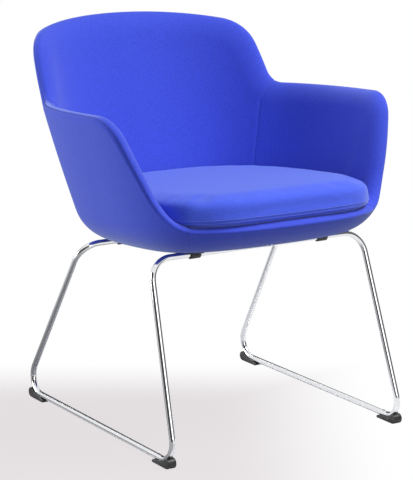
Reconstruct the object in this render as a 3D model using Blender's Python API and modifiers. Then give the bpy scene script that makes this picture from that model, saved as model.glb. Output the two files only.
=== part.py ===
"""Upholstered tub chair on a bent-rod sled frame.

Metres, +Z up, the sitter faces -Y. Every piece is its own object, built from the driving dimensions below.
"""

import math

import bmesh
import bpy
import numpy as np
from mathutils import Matrix, Vector

# Sled frame: one round rod, sizes on its centre line, corners before they are bent round
ROD_RADIUS = 0.006
SKID_HALF_SPREAD = 0.2616
SKID_HEIGHT = 0.0115
SKID_HALF_LENGTH = 0.3015
FRONT_RAIL_Y = -0.180
FRONT_RAIL_HEIGHT = 0.375
REAR_RAIL_Y = 0.0892
REAR_RAIL_HEIGHT = 0.3525
SIDE_LEAN_IN = 0.0543
RAIL_BEND_RADIUS = 0.045
FOOT_BEND_RADIUS = 0.036
BEND_STEP_DEGREES = 15.0

# Fits
SEAT_GAP = 0.0003
SEAM_GAP = 0.0006

# Glides: a wedge under each foot bend, held by a peg through the rod
GLIDE_WIDTH = 0.018
GLIDE_TAIL = 0.022
GLIDE_TAIL_HEIGHT = 0.005
GLIDE_TOE = 0.039
GLIDE_TOE_HEIGHT = 0.020
GLIDE_CHEEK_DROP = 0.002
GLIDE_PEG_RADIUS = 0.0025
GLIDE_PEG_SETBACK = 0.009
GLIDE_PEG_STAND = 0.0008

# Saddle clamps under the rails, a little in from the edge of the tub's flat base
SADDLE_INSET = 0.0050
SADDLE_WIDTH = 0.022
SADDLE_WALL = 0.0026
SADDLE_EAR_MARGIN = 0.0057
SADDLE_EAR_THICKNESS = 0.004
SCREW_RADIUS = 0.0025
SCREW_HEAD_RADIUS = 0.0046
SCREW_HEAD_HEIGHT = 0.0028
TEE_NUT_FLANGE_RADIUS = 0.0072
TEE_NUT_FLANGE_THICKNESS = 0.0012
TEE_NUT_BARREL_RADIUS = 0.0038
TEE_NUT_BARREL_LENGTH = 0.0066

# Tub: its places and heights are measured from the axis of the front rail that carries it
BASE_SLOPE_DEGREES = 4.7777

# Tub plan at arm height: two half superellipses that meet at the widest line
ARM_LEVEL = 0.260
PLAN_FRONT_OVERHANG = 0.198
PLAN_HALF_WIDTH = 0.3275
PLAN_BACK_REACH = 0.400
PLAN_BACK_SQUARENESS = 2.37
PLAN_FRONT_REACH = 0.313
PLAN_FRONT_SQUARENESS = 2.68

# Tub wall: how it leans out with height, bows back in, and rounds under into the base
WALL_FLARE = 0.252
WALL_BOW = 0.050435
BACK_RECLINE = 0.084
BASE_RADIUS = 0.085
FRONT_BASE_EXTRA_RADIUS = 0.042

# Rim outline on the unrolled wall: distance round, height, corner radius. Distances run from the middle of the
# back, or for the arm's nose and foot and the front seam, forwards from the widest line
BACK_CROWN = (0.4135, 1.34)
BACK_CORNER = (0.262, 0.372, 0.106)
ARM_ROOT = (0.3345, 0.251, 0.0475)
ARM_NOSE = (0.0840, 0.267, 0.0645)
ARM_FOOT = (0.1955, 0.063, 0.117)
FRONT_LIP_HEIGHT = 0.068
BACK_SEAM = 0.338
FRONT_SEAM = 0.2620
COLUMN_STEP = 0.040
COLUMN_STEP_DEGREES = 18.0

# Upholstery layers, measured inwards from the outer face
RIM_THICKNESS = 0.031
RIM_CREST_DEPTH = 0.011
RIM_SHOULDER = 0.030
RIM_LIP = 0.015
COVER_THICKNESS = 0.005
SHELL_THICKNESS = 0.008
PAD_END = 0.84
APRON_PAD_END = 0.40

# Seat: foam deck in the tub and a loose cushion on it
CUSHION_BELOW_LIP = 0.0035
DECK_OVERHANG = 0.002
CUSHION_THICKNESS = 0.052
CUSHION_CROWN = 0.014
CUSHION_SIDE_GAP = 0.005
CUSHION_FRONT_SETBACK = 0.012
CUSHION_FRONT_SQUARENESS = 3.3
CUSHION_EDGE_SQUARENESS = 3.6
CUSHION_ROUND = 0.012
CUSHION_DRAW_IN = 0.004

for existing in list(bpy.data.objects):
    bpy.data.objects.remove(existing)

parts = bpy.data.collections.new("tub_chair")
cutters = bpy.data.collections.new("cutters")
bpy.context.scene.collection.children.link(parts)
bpy.context.scene.collection.children.link(cutters)


# Materials
def finish(name, colour, roughness, metallic=0.0):
    material = bpy.data.materials.new(name)
    material.use_nodes = True
    shader = material.node_tree.nodes["Principled BSDF"]
    shader.inputs["Base Color"].default_value = (*colour, 1.0)
    shader.inputs["Roughness"].default_value = roughness
    shader.inputs["Metallic"].default_value = metallic
    return material


chrome = finish("chrome_rod", (0.80, 0.81, 0.83), 0.08, 1.0)
blue_fabric = finish("blue_fabric", (0.045, 0.075, 0.62), 0.90)
black_plastic = finish("black_plastic", (0.012, 0.012, 0.013), 0.45)
black_felt = finish("black_felt", (0.015, 0.015, 0.016), 0.95)
zinc_steel = finish("zinc_steel", (0.62, 0.62, 0.60), 0.35, 1.0)
moulded_ply = finish("moulded_ply", (0.56, 0.40, 0.24), 0.60)
foam = finish("foam", (0.80, 0.74, 0.55), 0.95)


# Object helpers
def empty(name, location, rotation=(0.0, 0.0, 0.0), parent=None):
    obj = bpy.data.objects.new(name, None)
    obj.location = location
    obj.rotation_euler = rotation
    obj.parent = parent
    parts.objects.link(obj)
    return obj


def part(name, mesh, material, parent, smooth_degrees=35.0):
    obj = bpy.data.objects.new(name, mesh)
    mesh.materials.clear()
    mesh.materials.append(material)
    mesh.shade_smooth()
    mesh.set_sharp_from_angle(angle=math.radians(smooth_degrees))
    obj.parent = parent
    parts.objects.link(obj)
    return obj


def helper(name, mesh, parent):
    obj = bpy.data.objects.new(name, mesh)
    obj.parent = parent
    obj.hide_render = True
    obj.display_type = "WIRE"
    cutters.objects.link(obj)
    return obj


def boolean(obj, tool, operation):
    modifier = obj.modifiers.new(tool.name, "BOOLEAN")
    modifier.operation = operation
    modifier.solver = "EXACT"
    modifier.object = tool


def cylinder_mesh(name, radius, low, high, centre, segments=12):
    work = bmesh.new()
    place = Matrix.Translation((centre[0], centre[1], (low + high) / 2))
    bmesh.ops.create_cone(work, cap_ends=True, segments=segments, radius1=radius, radius2=radius,
                          depth=high - low, matrix=place)
    mesh = bpy.data.meshes.new(name)
    work.to_mesh(mesh)
    work.free()
    return mesh


def mesh_of_curve(name, curve):
    """A closed mesh of a curve's tube or extruded outline."""
    holder = bpy.data.objects.new(name, curve)
    bpy.context.scene.collection.objects.link(holder)
    graph = bpy.context.evaluated_depsgraph_get()
    mesh = bpy.data.meshes.new_from_object(holder.evaluated_get(graph))
    bpy.data.objects.remove(holder)
    work = bmesh.new()
    work.from_mesh(mesh)
    bmesh.ops.remove_doubles(work, verts=work.verts, dist=1e-6)
    bmesh.ops.recalc_face_normals(work, faces=work.faces)
    work.to_mesh(mesh)
    work.free()
    return mesh


def tube_mesh(name, path, radius):
    curve = bpy.data.curves.new(name, "CURVE")
    curve.dimensions = "3D"
    curve.bevel_depth = radius
    curve.bevel_resolution = 4
    curve.use_fill_caps = True
    spline = curve.splines.new("POLY")
    spline.points.add(len(path) - 1)
    for point, place in zip(spline.points, path):
        point.co = (*place, 1.0)
    return mesh_of_curve(name, curve)


def slab_mesh(name, outline, half_thickness):
    """A flat outline in XY, thickened both ways along Z."""
    curve = bpy.data.curves.new(name, "CURVE")
    curve.dimensions = "2D"
    curve.fill_mode = "BOTH"
    curve.extrude = half_thickness
    spline = curve.splines.new("POLY")
    spline.use_cyclic_u = True
    spline.points.add(len(outline) - 1)
    for point, (x, y) in zip(spline.points, outline):
        point.co = (x, y, 0.0, 1.0)
    return mesh_of_curve(name, curve)


def turned(name, profile, material, parent, location, steps=12):
    """A profile of (radius, height), from the top down its outer side, turned about Z."""
    mesh = bpy.data.meshes.new(name)
    work = bmesh.new()
    ring = [work.verts.new((radius, 0.0, height)) for radius, height in profile]
    for first, second in zip(ring, ring[1:]):
        work.edges.new((first, second))
    work.to_mesh(mesh)
    work.free()
    obj = part(name, mesh, material, parent)
    obj.location = location
    screw = obj.modifiers.new("turn", "SCREW")
    screw.steps = steps
    screw.render_steps = steps
    screw.use_merge_vertices = True
    screw.merge_threshold = 1e-5
    return obj


def arc(centre, radius, start_degrees, end_degrees, count):
    angles = np.radians(np.linspace(start_degrees, end_degrees, count))
    return [(centre[0] + radius * math.cos(a), centre[1] + radius * math.sin(a)) for a in angles]


# Rod path: straight runs joined by bends
def rounded_path(corners, radii):
    path = [corners[0]]
    for before, corner, after, radius in zip(corners, corners[1:], corners[2:], radii):
        to_before = (before - corner).normalized()
        to_after = (after - corner).normalized()
        half_angle = to_before.angle(to_after) / 2
        centre = corner + (to_before + to_after).normalized() * radius / math.sin(half_angle)
        start = corner + to_before * radius / math.tan(half_angle) - centre
        turn = math.pi - 2 * half_angle
        axis = to_before.cross(start)
        steps = math.ceil(math.degrees(turn) / BEND_STEP_DEGREES)
        for step in range(steps + 1):
            path.append(centre + Matrix.Rotation(turn * step / steps, 3, axis) @ start)
    path.append(corners[-1])
    return path


def loop_half_spread(height):
    """Half the spread of the two side loops, which lean in towards the seat."""
    return SKID_HALF_SPREAD - SIDE_LEAN_IN * (height - SKID_HEIGHT)


def rod_path(side):
    front_x = side * loop_half_spread(FRONT_RAIL_HEIGHT)
    rear_x = side * loop_half_spread(REAR_RAIL_HEIGHT)
    weld_x = side * SEAT_GAP / 2
    corners = [
        Vector((weld_x, FRONT_RAIL_Y, FRONT_RAIL_HEIGHT)),
        Vector((front_x, FRONT_RAIL_Y, FRONT_RAIL_HEIGHT)),
        Vector((side * SKID_HALF_SPREAD, -SKID_HALF_LENGTH, SKID_HEIGHT)),
        Vector((side * SKID_HALF_SPREAD, SKID_HALF_LENGTH, SKID_HEIGHT)),
        Vector((rear_x, REAR_RAIL_Y, REAR_RAIL_HEIGHT)),
        Vector((weld_x, REAR_RAIL_Y, REAR_RAIL_HEIGHT)),
    ]
    radii = [RAIL_BEND_RADIUS, FOOT_BEND_RADIUS, FOOT_BEND_RADIUS, RAIL_BEND_RADIUS]
    return rounded_path(corners, radii)


def foot_bend_start(end):
    """Where the skid starts to bend up into its front (-1) or rear (+1) leg."""
    rail_y, rail_height = (FRONT_RAIL_Y, FRONT_RAIL_HEIGHT) if end < 0 else (REAR_RAIL_Y, REAR_RAIL_HEIGHT)
    run = SKID_HALF_LENGTH - end * rail_y
    corner_angle = math.atan2(rail_height - SKID_HEIGHT, run)
    return end * (SKID_HALF_LENGTH - FOOT_BEND_RADIUS / math.tan(corner_angle / 2))


SIDES = (("left", -1), ("right", 1))
ENDS = (("front", -1), ("rear", 1))

chair = empty("chair_origin", (0.0, 0.0, 0.0))

# Sled frame: two half loops, butt-welded in the middle of the rails and drilled for the glide pegs
for side_name, side in SIDES:
    loop = part(f"{side_name}_frame_loop", tube_mesh("rod", rod_path(side), ROD_RADIUS), chrome, chair)
    for end_name, end in ENDS:
        peg_y = foot_bend_start(end) - end * GLIDE_PEG_SETBACK
        drill = helper(f"{side_name}_{end_name}_peg_drill", cylinder_mesh(
            "drill", GLIDE_PEG_RADIUS + SEAT_GAP, 0.0, SKID_HEIGHT + 2 * ROD_RADIUS,
            (side * SKID_HALF_SPREAD, peg_y)), chair)
        boolean(loop, drill, "DIFFERENCE")


# Glides: a wedge cut to the bend, with a peg up through the rod
def glide_outline():
    """Side view: along the sole towards the toe, then height, from the start of the bend."""
    bend_centre = (0.0, SKID_HEIGHT + FOOT_BEND_RADIUS)
    cheek_radius = FOOT_BEND_RADIUS + GLIDE_CHEEK_DROP
    toe_angle = math.degrees(math.acos((bend_centre[1] - GLIDE_TOE_HEIGHT) / cheek_radius))
    toe_round = GLIDE_TOE_HEIGHT / 2
    outline = [(-GLIDE_TAIL, 0.0)]
    outline += arc((GLIDE_TOE - toe_round, toe_round), toe_round, -90.0, 75.0, 6)
    outline += arc(bend_centre, cheek_radius, toe_angle - 90.0, -90.0, 6)
    outline.append((-GLIDE_TAIL, GLIDE_TAIL_HEIGHT))
    return outline


for side_name, side in SIDES:
    groove = helper(f"{side_name}_groove", tube_mesh("groove", rod_path(side), ROD_RADIUS + SEAT_GAP), chair)
    for end_name, end in ENDS:
        wedge = slab_mesh("wedge", glide_outline(), GLIDE_WIDTH / 2)
        upright = Matrix(((0, 0, end), (end, 0, 0), (0, 1, 0))).to_4x4()
        bend_y = foot_bend_start(end)
        wedge.transform(Matrix.Translation((side * SKID_HALF_SPREAD, bend_y, 0.0)) @ upright)
        glide = part(f"{end_name}_{side_name}_glide", wedge, black_plastic, chair)
        boolean(glide, groove, "DIFFERENCE")
        peg = helper(f"{end_name}_{side_name}_peg", cylinder_mesh(
            "peg", GLIDE_PEG_RADIUS, SKID_HEIGHT / 4, SKID_HEIGHT + ROD_RADIUS + GLIDE_PEG_STAND,
            (side * SKID_HALF_SPREAD, bend_y - end * GLIDE_PEG_SETBACK), 10), chair)
        boolean(glide, peg, "UNION")


# Deck: the sloping plane of the tub's underside. The tub is turned so that it rests on both rails
RAIL_RUN = REAR_RAIL_Y - FRONT_RAIL_Y
RAIL_FALL = FRONT_RAIL_HEIGHT - REAR_RAIL_HEIGHT
RAIL_SPACING = math.hypot(RAIL_RUN, RAIL_FALL)
RAIL_TO_DECK = ROD_RADIUS + SEAT_GAP
BASE_SLOPE = math.radians(BASE_SLOPE_DEGREES)
DECK_Y = RAIL_TO_DECK * math.sin(BASE_SLOPE)
DECK_Z = RAIL_TO_DECK * math.cos(BASE_SLOPE)
tub_turn = BASE_SLOPE - math.atan2(RAIL_FALL, RAIL_RUN)
tub = empty("tub_origin", (0.0, FRONT_RAIL_Y, FRONT_RAIL_HEIGHT), (tub_turn, 0.0, 0.0), chair)
deck = empty("deck_plane", (0.0, DECK_Y, DECK_Z), (-BASE_SLOPE, 0.0, 0.0), tub)


def deck_height(y):
    return DECK_Z - (y - DECK_Y) * math.tan(BASE_SLOPE)


def deck_local_y(y, height=0.0):
    return (y - DECK_Y - height * math.sin(BASE_SLOPE)) / math.cos(BASE_SLOPE)


# Tub wall: plan, lean and rounded base
def signed_power(values, power):
    return np.sign(values) * np.abs(values) ** power


def plan_table():
    angle = np.linspace(math.pi / 2, -math.pi / 2, 2001)
    cosine = np.clip(np.cos(angle), 0.0, None)
    sine = np.sin(angle)
    squareness = np.where(sine >= 0, PLAN_BACK_SQUARENESS, PLAN_FRONT_SQUARENESS)
    reach = np.where(sine >= 0, PLAN_BACK_REACH, PLAN_FRONT_REACH)
    x = PLAN_HALF_WIDTH * cosine ** (2 / squareness)
    rise = signed_power(sine, 2 / squareness)
    normal_x = (x / PLAN_HALF_WIDTH) ** (squareness - 1) / PLAN_HALF_WIDTH
    normal_y = signed_power(rise, squareness - 1) / reach
    length = np.hypot(normal_x, normal_y)
    y = PLAN_WIDEST_Y + reach * rise
    around = np.concatenate([[0.0], np.cumsum(np.hypot(np.diff(x), np.diff(y)))])
    return around, x, y, normal_x / length, normal_y / length


PLAN_WIDEST_Y = PLAN_FRONT_REACH - PLAN_FRONT_OVERHANG
PLAN = plan_table()
PLAN_LENGTH = float(PLAN[0][-1])
WIDEST_AROUND = float(np.interp(0.0, PLAN_WIDEST_Y - PLAN[2], PLAN[0]))


def plan_at(around):
    return (float(np.interp(around, PLAN[0], column)) for column in PLAN[1:])


def wall_lean(height, normal_y):
    rise = height - ARM_LEVEL
    bow = WALL_BOW * rise ** 2 / PLAN_HALF_WIDTH
    return (WALL_FLARE + BACK_RECLINE * max(normal_y, 0.0) ** 2) * rise - bow


def base_round(around):
    """Height of the base, radius of the rounding above it, and height where the rounding ends."""
    x, y, normal_x, normal_y = plan_at(around)
    radius = BASE_RADIUS + FRONT_BASE_EXTRA_RADIUS * max(-normal_y, 0.0) ** 2
    slope = math.atan(WALL_FLARE)
    base = deck_height(y)
    for _ in range(5):
        end = base + radius * (1 - math.sin(slope))
        inset = wall_lean(end, normal_y) - radius * math.cos(slope)
        base = deck_height(y + normal_y * inset)
    return base, radius, base + radius * (1 - math.sin(slope))


def wall_point(around, height, depth=0.0):
    """A point of the wall, at a depth below its outer face."""
    x, y, normal_x, normal_y = plan_at(around)
    base, radius, round_end = base_round(around)
    if height >= round_end:
        out = wall_lean(height, normal_y)
        slope = math.atan(WALL_FLARE - 2 * WALL_BOW * (height - ARM_LEVEL) / PLAN_HALF_WIDTH)
    else:
        drop = min((base + radius - height) / radius, 1.0)
        slope = math.asin(drop)
        out = wall_lean(round_end, normal_y) + radius * (math.cos(slope) - math.cos(math.atan(WALL_FLARE)))
    out -= depth * math.cos(slope)
    return Vector((x + normal_x * out, y + normal_y * out, height + depth * math.sin(slope)))


def column_height(around, top, fraction):
    """Height at a fraction of the way down the wall from top to base, measured along its face."""
    base, radius, round_end = base_round(around)
    slope = math.atan(WALL_FLARE)
    straight = max(top - round_end, 0.0) / math.cos(slope)
    start = slope if straight > 0 else math.asin(min((base + radius - top) / radius, 1.0))
    along = fraction * (straight + radius * (math.pi / 2 - start))
    if along <= straight:
        return top - along * math.cos(slope)
    return base + radius - radius * math.sin(min(start + (along - straight) / radius, math.pi / 2))


# Rim outline on the unrolled wall, from the middle of the back to the middle of the front
def rim_outline():
    corners = [
        Vector((0.0, BACK_CROWN[0])),
        Vector(BACK_CORNER[:2]),
        Vector(ARM_ROOT[:2]),
        Vector((WIDEST_AROUND + ARM_NOSE[0], ARM_NOSE[1])),
        Vector((WIDEST_AROUND + ARM_FOOT[0], ARM_FOOT[1])),
        Vector((PLAN_LENGTH, FRONT_LIP_HEIGHT)),
    ]
    radii = [BACK_CROWN[1], BACK_CORNER[2], ARM_ROOT[2], ARM_NOSE[2], ARM_FOOT[2]]
    mirrored = Vector((-BACK_CORNER[0], BACK_CORNER[1]))
    points = []
    for before, corner, after, radius in zip([mirrored] + corners, corners, corners[1:], radii):
        to_before = (before - corner).normalized()
        to_after = (after - corner).normalized()
        half_angle = math.acos(max(-1.0, min(1.0, to_before.dot(to_after)))) / 2
        centre = corner + (to_before + to_after).normalized() * radius / math.sin(half_angle)
        start = corner + to_before * radius / math.tan(half_angle) - centre
        turn = math.copysign(math.pi - 2 * half_angle, to_before.x * start.y - to_before.y * start.x)
        first = 0.5 if corner is corners[0] else 0.0
        steps = math.ceil(abs(math.degrees(turn)) * (1 - first) / COLUMN_STEP_DEGREES)
        steps = max(steps, math.ceil(abs(turn) * (1 - first) * radius / COLUMN_STEP))
        for share in np.linspace(first, 1.0, steps + 1):
            points.append(centre + Matrix.Rotation(turn * share, 2) @ start)
    points.append(corners[-1])
    spaced = [points[0]]
    for before, after in zip(points, points[1:]):
        steps = max(1, math.ceil((after - before).length / COLUMN_STEP))
        spaced += [before.lerp(after, step / steps) for step in range(1, steps + 1)]
    return spaced


def split_at_seam(outline, seam):
    """The outline with a point at a seam's place round the wall, in place of any that lies close by."""
    for index, (before, after) in enumerate(zip(outline, outline[1:])):
        if before.x <= seam < after.x:
            point = before.lerp(after, (seam - before.x) / (after.x - before.x))
            close = COLUMN_STEP / 4
            head = [p for p in outline[:index + 1] if seam - p.x > close or p is outline[0]]
            tail = [p for p in outline[index + 1:] if p.x - seam > close]
            return head + [point] + tail
    return outline


RIM = split_at_seam(split_at_seam(rim_outline(), BACK_SEAM), WIDEST_AROUND + FRONT_SEAM)
BACK_SEAM_COLUMN = min(range(len(RIM)), key=lambda i: abs(RIM[i].x - BACK_SEAM))
FRONT_SEAM_COLUMN = min(range(len(RIM)), key=lambda i: abs(RIM[i].x - WIDEST_AROUND - FRONT_SEAM))
LAST_COLUMN = len(RIM) - 1


def rim_inward(column):
    """Direction from the rim into the wall, square to the outline."""
    before = RIM[column - 1] if column else Vector((-RIM[1].x, RIM[1].y))
    after = RIM[column + 1] if column < LAST_COLUMN else Vector((2 * PLAN_LENGTH - RIM[-2].x, RIM[-2].y))
    tangent = (after - before).normalized()
    return Vector((tangent.y, -tangent.x))


def section_point(column, side, station):
    kind, along, depth = station
    inward = rim_inward(column)
    if kind == "rim":
        around, height = RIM[column] + inward * along
    else:
        around, top = RIM[column] + inward * RIM_SHOULDER
        height = column_height(around, top, along)
    point = wall_point(around, height, depth)
    return Vector((side * point.x, point.y, point.z))


def section_ring(column, side, stations):
    return [section_point(column, side, station) for station in stations]


def cap_rungs(stations):
    """Pairs of stations level with each other on the two faces of a section."""
    rungs = []
    used = set()
    for first, station in enumerate(stations):
        for second in range(len(stations) - 1, first, -1):
            if stations[second][:2] == station[:2] and not used & {first, second}:
                used |= {first, second}
                if 1 < second - first < len(stations) - 1:
                    rungs.append((first, second))
    return rungs


def split_caps(caps, rings, rungs):
    """Divides each end cap at its rungs, so that two caps that meet at a seam bend alike."""
    for ring in (rings[0], rings[-1]):
        for pair in rungs:
            corners = {vertex for cap in caps for vertex in cap.verts}
            first, second = (min(corners, key=lambda v: (v.co - ring[i]).length_squared) for i in pair)
            shared = next(cap for cap in caps if first in cap.verts and second in cap.verts)
            caps.append(bmesh.utils.face_split(shared, first, second)[0])


def sewn_edges(rings):
    """The rings with the first and last drawn in by half a seam."""
    drawn = [list(ring) for ring in rings]
    for end, beside in ((0, 1), (-1, -2)):
        for index, point in enumerate(rings[end]):
            reach = (rings[beside][index] - point).length
            drawn[end][index] = point.lerp(rings[beside][index], SEAM_GAP / 2 / reach)
    return drawn


def split_quads(work, columns, stations, along, across):
    """Splits each quad of the grid the same way on every layer, so that layers nest."""
    level = [place if kind == "rim" else 1 + place for kind, place, depth in stations]
    for quad in list(work.faces):
        corner = {}
        for vertex in quad.verts:
            corner[round((vertex.co.x + 1) / 2 * along), round((vertex.co.y + 1) / 2 * across)] = vertex
        rings = sorted({ring for ring, step in corner}, key=lambda i: columns[i % len(columns)][0])
        steps = sorted({step for ring, step in corner}, key=lambda i: level[i % len(level)])
        bmesh.utils.face_split(quad, corner[rings[0], steps[0]], corner[rings[1], steps[1]])


def loft(name, columns, stations, closed_round=False):
    """A skin drawn through the section at each column: a closed ring, or sewn strips with capped ends."""
    rings = [section_ring(column, side, stations) for column, side in columns]
    if not closed_round:
        rings = sewn_edges(rings)
    along = len(rings) - (0 if closed_round else 1)
    across = len(stations) - (1 if closed_round else 0)
    work = bmesh.new()
    bmesh.ops.create_grid(work, x_segments=along, y_segments=across, size=1.0)
    split_quads(work, columns, stations, along, across)
    for vertex in work.verts:
        ring = round((vertex.co.x + 1) / 2 * along) % len(rings)
        step = round((vertex.co.y + 1) / 2 * across) % len(stations)
        vertex.co = rings[ring][step]
    bmesh.ops.remove_doubles(work, verts=work.verts, dist=1e-6)
    open_edges = [edge for edge in work.edges if edge.is_boundary]
    caps = bmesh.ops.holes_fill(work, edges=open_edges, sides=0)["faces"]
    if not closed_round:
        split_caps(caps, rings, cap_rungs(stations))
    bmesh.ops.recalc_face_normals(work, faces=work.faces)
    mesh = bpy.data.meshes.new(name)
    work.to_mesh(mesh)
    work.free()
    return mesh


def columns_between(first, last, side):
    """Columns on one side of the tub, or from one side to the other when side is 0."""
    one_side = list(range(first, last + 1))
    if side:
        return [(column, side) for column in one_side]
    if first == 0:
        return [(column, -1) for column in reversed(one_side[1:])] + [(column, 1) for column in one_side]
    return [(column, 1) for column in one_side] + [(column, -1) for column in reversed(one_side[:-1])]


def upholstery(name, columns, stations, material):
    return part(name, loft(name, columns, stations), material, tub, 50.0)


SHELL_DEPTH = COVER_THICKNESS + 2 * SEAT_GAP
PAD_DEPTH = SHELL_DEPTH + SHELL_THICKNESS + 2 * SEAT_GAP
DOWN_WALL = (0.2, 0.4, 0.55, 0.65, 0.75, 0.84, 0.92, 0.97)


def wall_stations(depth, first=0.0, last=1.0):
    middle = [share for share in DOWN_WALL if first < share < last]
    return [("wall", share, depth) for share in [first] + middle + [last]]


def rim_crest():
    """Over the top of the rim, from its outer lip to its inner shoulder."""
    inner_width = RIM_THICKNESS - RIM_CREST_DEPTH
    outer = [("rim", RIM_LIP * (1 - math.sin(a)), RIM_CREST_DEPTH * (1 - math.cos(a)))
             for a in np.radians((30.0, 60.0, 90.0))]
    inner = [("rim", RIM_SHOULDER * (1 - math.cos(a)), RIM_CREST_DEPTH + inner_width * math.sin(a))
             for a in np.radians((25.0, 50.0, 75.0))]
    return outer + inner


# Tub shell: moulded wall and floor, open at the top, drilled for the tee nuts
shell_stations = list(reversed(wall_stations(SHELL_DEPTH)))
shell_stations.append(("rim", RIM_LIP + SEAM_GAP, SHELL_DEPTH))
shell_stations.append(("rim", RIM_LIP + SEAM_GAP, SHELL_DEPTH + SHELL_THICKNESS))
shell_stations += wall_stations(SHELL_DEPTH + SHELL_THICKNESS)
all_round = columns_between(0, LAST_COLUMN, 1) + columns_between(1, LAST_COLUMN - 1, -1)[::-1]
tub_shell = part("tub_shell", loft("tub_shell", all_round, shell_stations, True), moulded_ply, tub, 40.0)

# Inner pads: fold over the rim and run down inside the shell
pad_stations = [("rim", RIM_LIP, 0.0)] + rim_crest()
pad_stations += wall_stations(RIM_THICKNESS, 0.0, PAD_END)
pad_stations += list(reversed(wall_stations(PAD_DEPTH, 0.0, PAD_END)))
pad_stations.append(("rim", RIM_LIP, PAD_DEPTH))
upholstery("inner_back_pad", columns_between(0, BACK_SEAM_COLUMN, 0), pad_stations, blue_fabric)
for side_name, side in SIDES:
    arm = columns_between(BACK_SEAM_COLUMN, FRONT_SEAM_COLUMN, side)
    upholstery(f"{side_name}_arm_pad", arm, pad_stations, blue_fabric)

# Outer covers: sewn to the pads' lip and turned under the base
cover_stations = [("rim", RIM_LIP + SEAM_GAP, 0.0)] + wall_stations(0.0)
cover_stations += list(reversed(wall_stations(COVER_THICKNESS)))
cover_stations.append(("rim", RIM_LIP + SEAM_GAP, COVER_THICKNESS))
upholstery("outer_back_cover", columns_between(0, BACK_SEAM_COLUMN, 0), cover_stations, blue_fabric)
for side_name, side in SIDES:
    flank = columns_between(BACK_SEAM_COLUMN, FRONT_SEAM_COLUMN, side)
    upholstery(f"{side_name}_outer_cover", flank, cover_stations, blue_fabric)

# Front apron: one pad over the shell's front edge, down both faces
apron_stations = list(reversed(wall_stations(0.0))) + [("rim", RIM_LIP, 0.0)] + rim_crest()
apron_stations += wall_stations(RIM_THICKNESS, 0.0, APRON_PAD_END)
apron_stations += list(reversed(wall_stations(PAD_DEPTH, 0.0, APRON_PAD_END)))
apron_stations += [("rim", RIM_LIP, PAD_DEPTH), ("rim", RIM_LIP, COVER_THICKNESS)]
apron_stations += wall_stations(COVER_THICKNESS)
upholstery("front_apron", columns_between(FRONT_SEAM_COLUMN, LAST_COLUMN, 0), apron_stations, blue_fabric)


# Bottom panel: closes the underside inside the turned-under covers
def base_outline(inset):
    """The edge of the flat base on the deck plane, drawn in by inset."""
    outline = []
    for column, side in all_round:
        around = (RIM[column] + rim_inward(column) * RIM_SHOULDER).x
        x, y, normal_x, normal_y = plan_at(around)
        edge = wall_point(around, base_round(around)[0])
        outline.append((side * (edge.x - inset * normal_x), deck_local_y(edge.y - inset * normal_y)))
    return outline


def base_half_width(y, inset):
    """Half the width of the flat base, drawn in by inset, at a place on the deck plane."""
    edge = sorted((place, x) for x, place in base_outline(inset) if x >= 0)
    return float(np.interp(y, [place for place, x in edge], [x for place, x in edge]))


panel_mesh = slab_mesh("panel", base_outline(2 * SEAM_GAP), COVER_THICKNESS / 2)
bottom_panel = part("bottom_panel", panel_mesh, black_felt, deck)
bottom_panel.location = (0.0, 0.0, COVER_THICKNESS / 2)


# Saddle clamps, screws and tee nuts, all square to the deck
SCREW_SETBACK = ROD_RADIUS + SEAT_GAP + SADDLE_WALL + SCREW_HEAD_RADIUS + SEAT_GAP
SADDLE_EAR_REACH = SCREW_SETBACK + SADDLE_EAR_MARGIN
lip_crest = wall_point(PLAN_LENGTH, FRONT_LIP_HEIGHT, RIM_CREST_DEPTH)
lip_rise = (lip_crest.y - DECK_Y) * math.sin(BASE_SLOPE) + (lip_crest.z - DECK_Z) * math.cos(BASE_SLOPE)
DECK_HEIGHT = lip_rise - CUSHION_BELOW_LIP


def saddle_outline():
    """End view about the rod: across the rail, then height, open upwards round the rod."""
    slot = ROD_RADIUS + SEAT_GAP
    body = slot + SADDLE_WALL
    ear_top = ROD_RADIUS
    ear_under = ear_top - SADDLE_EAR_THICKNESS
    outline = [(SADDLE_EAR_REACH, ear_under), (SADDLE_EAR_REACH, ear_top), (slot, ear_top)]
    outline += arc((0.0, 0.0), slot, 0.0, -180.0, 9)
    outline += [(-slot, ear_top), (-SADDLE_EAR_REACH, ear_top), (-SADDLE_EAR_REACH, ear_under)]
    outline.append((-body, ear_under))
    outline += arc((0.0, 0.0), body, 180.0, 360.0, 9)
    outline.append((body, ear_under))
    return outline


tee_hole_radius = TEE_NUT_BARREL_RADIUS + SEAT_GAP
screw_hole_radius = SCREW_RADIUS + SEAT_GAP
shell_floor_top = SHELL_DEPTH + SHELL_THICKNESS
ear_under = -RAIL_TO_DECK + ROD_RADIUS - SADDLE_EAR_THICKNESS
head_top = ear_under - SEAT_GAP
screw_end = shell_floor_top + TEE_NUT_FLANGE_THICKNESS
flange_base = shell_floor_top + 2 * SEAT_GAP
screw_profile = [
    (0.0, screw_end),
    (SCREW_RADIUS, screw_end),
    (SCREW_RADIUS, head_top),
    (SCREW_HEAD_RADIUS, head_top),
    (SCREW_HEAD_RADIUS, head_top - SCREW_HEAD_HEIGHT / 2),
    (SCREW_HEAD_RADIUS * 0.7, head_top - SCREW_HEAD_HEIGHT),
    (0.0, head_top - SCREW_HEAD_HEIGHT),
]
nut_profile = [
    (screw_hole_radius, flange_base + TEE_NUT_FLANGE_THICKNESS),
    (TEE_NUT_FLANGE_RADIUS, flange_base + TEE_NUT_FLANGE_THICKNESS),
    (TEE_NUT_FLANGE_RADIUS, flange_base),
    (TEE_NUT_BARREL_RADIUS, flange_base),
    (TEE_NUT_BARREL_RADIUS, flange_base - TEE_NUT_BARREL_LENGTH),
    (screw_hole_radius, flange_base - TEE_NUT_BARREL_LENGTH),
    (screw_hole_radius, flange_base + TEE_NUT_FLANGE_THICKNESS),
]

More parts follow.
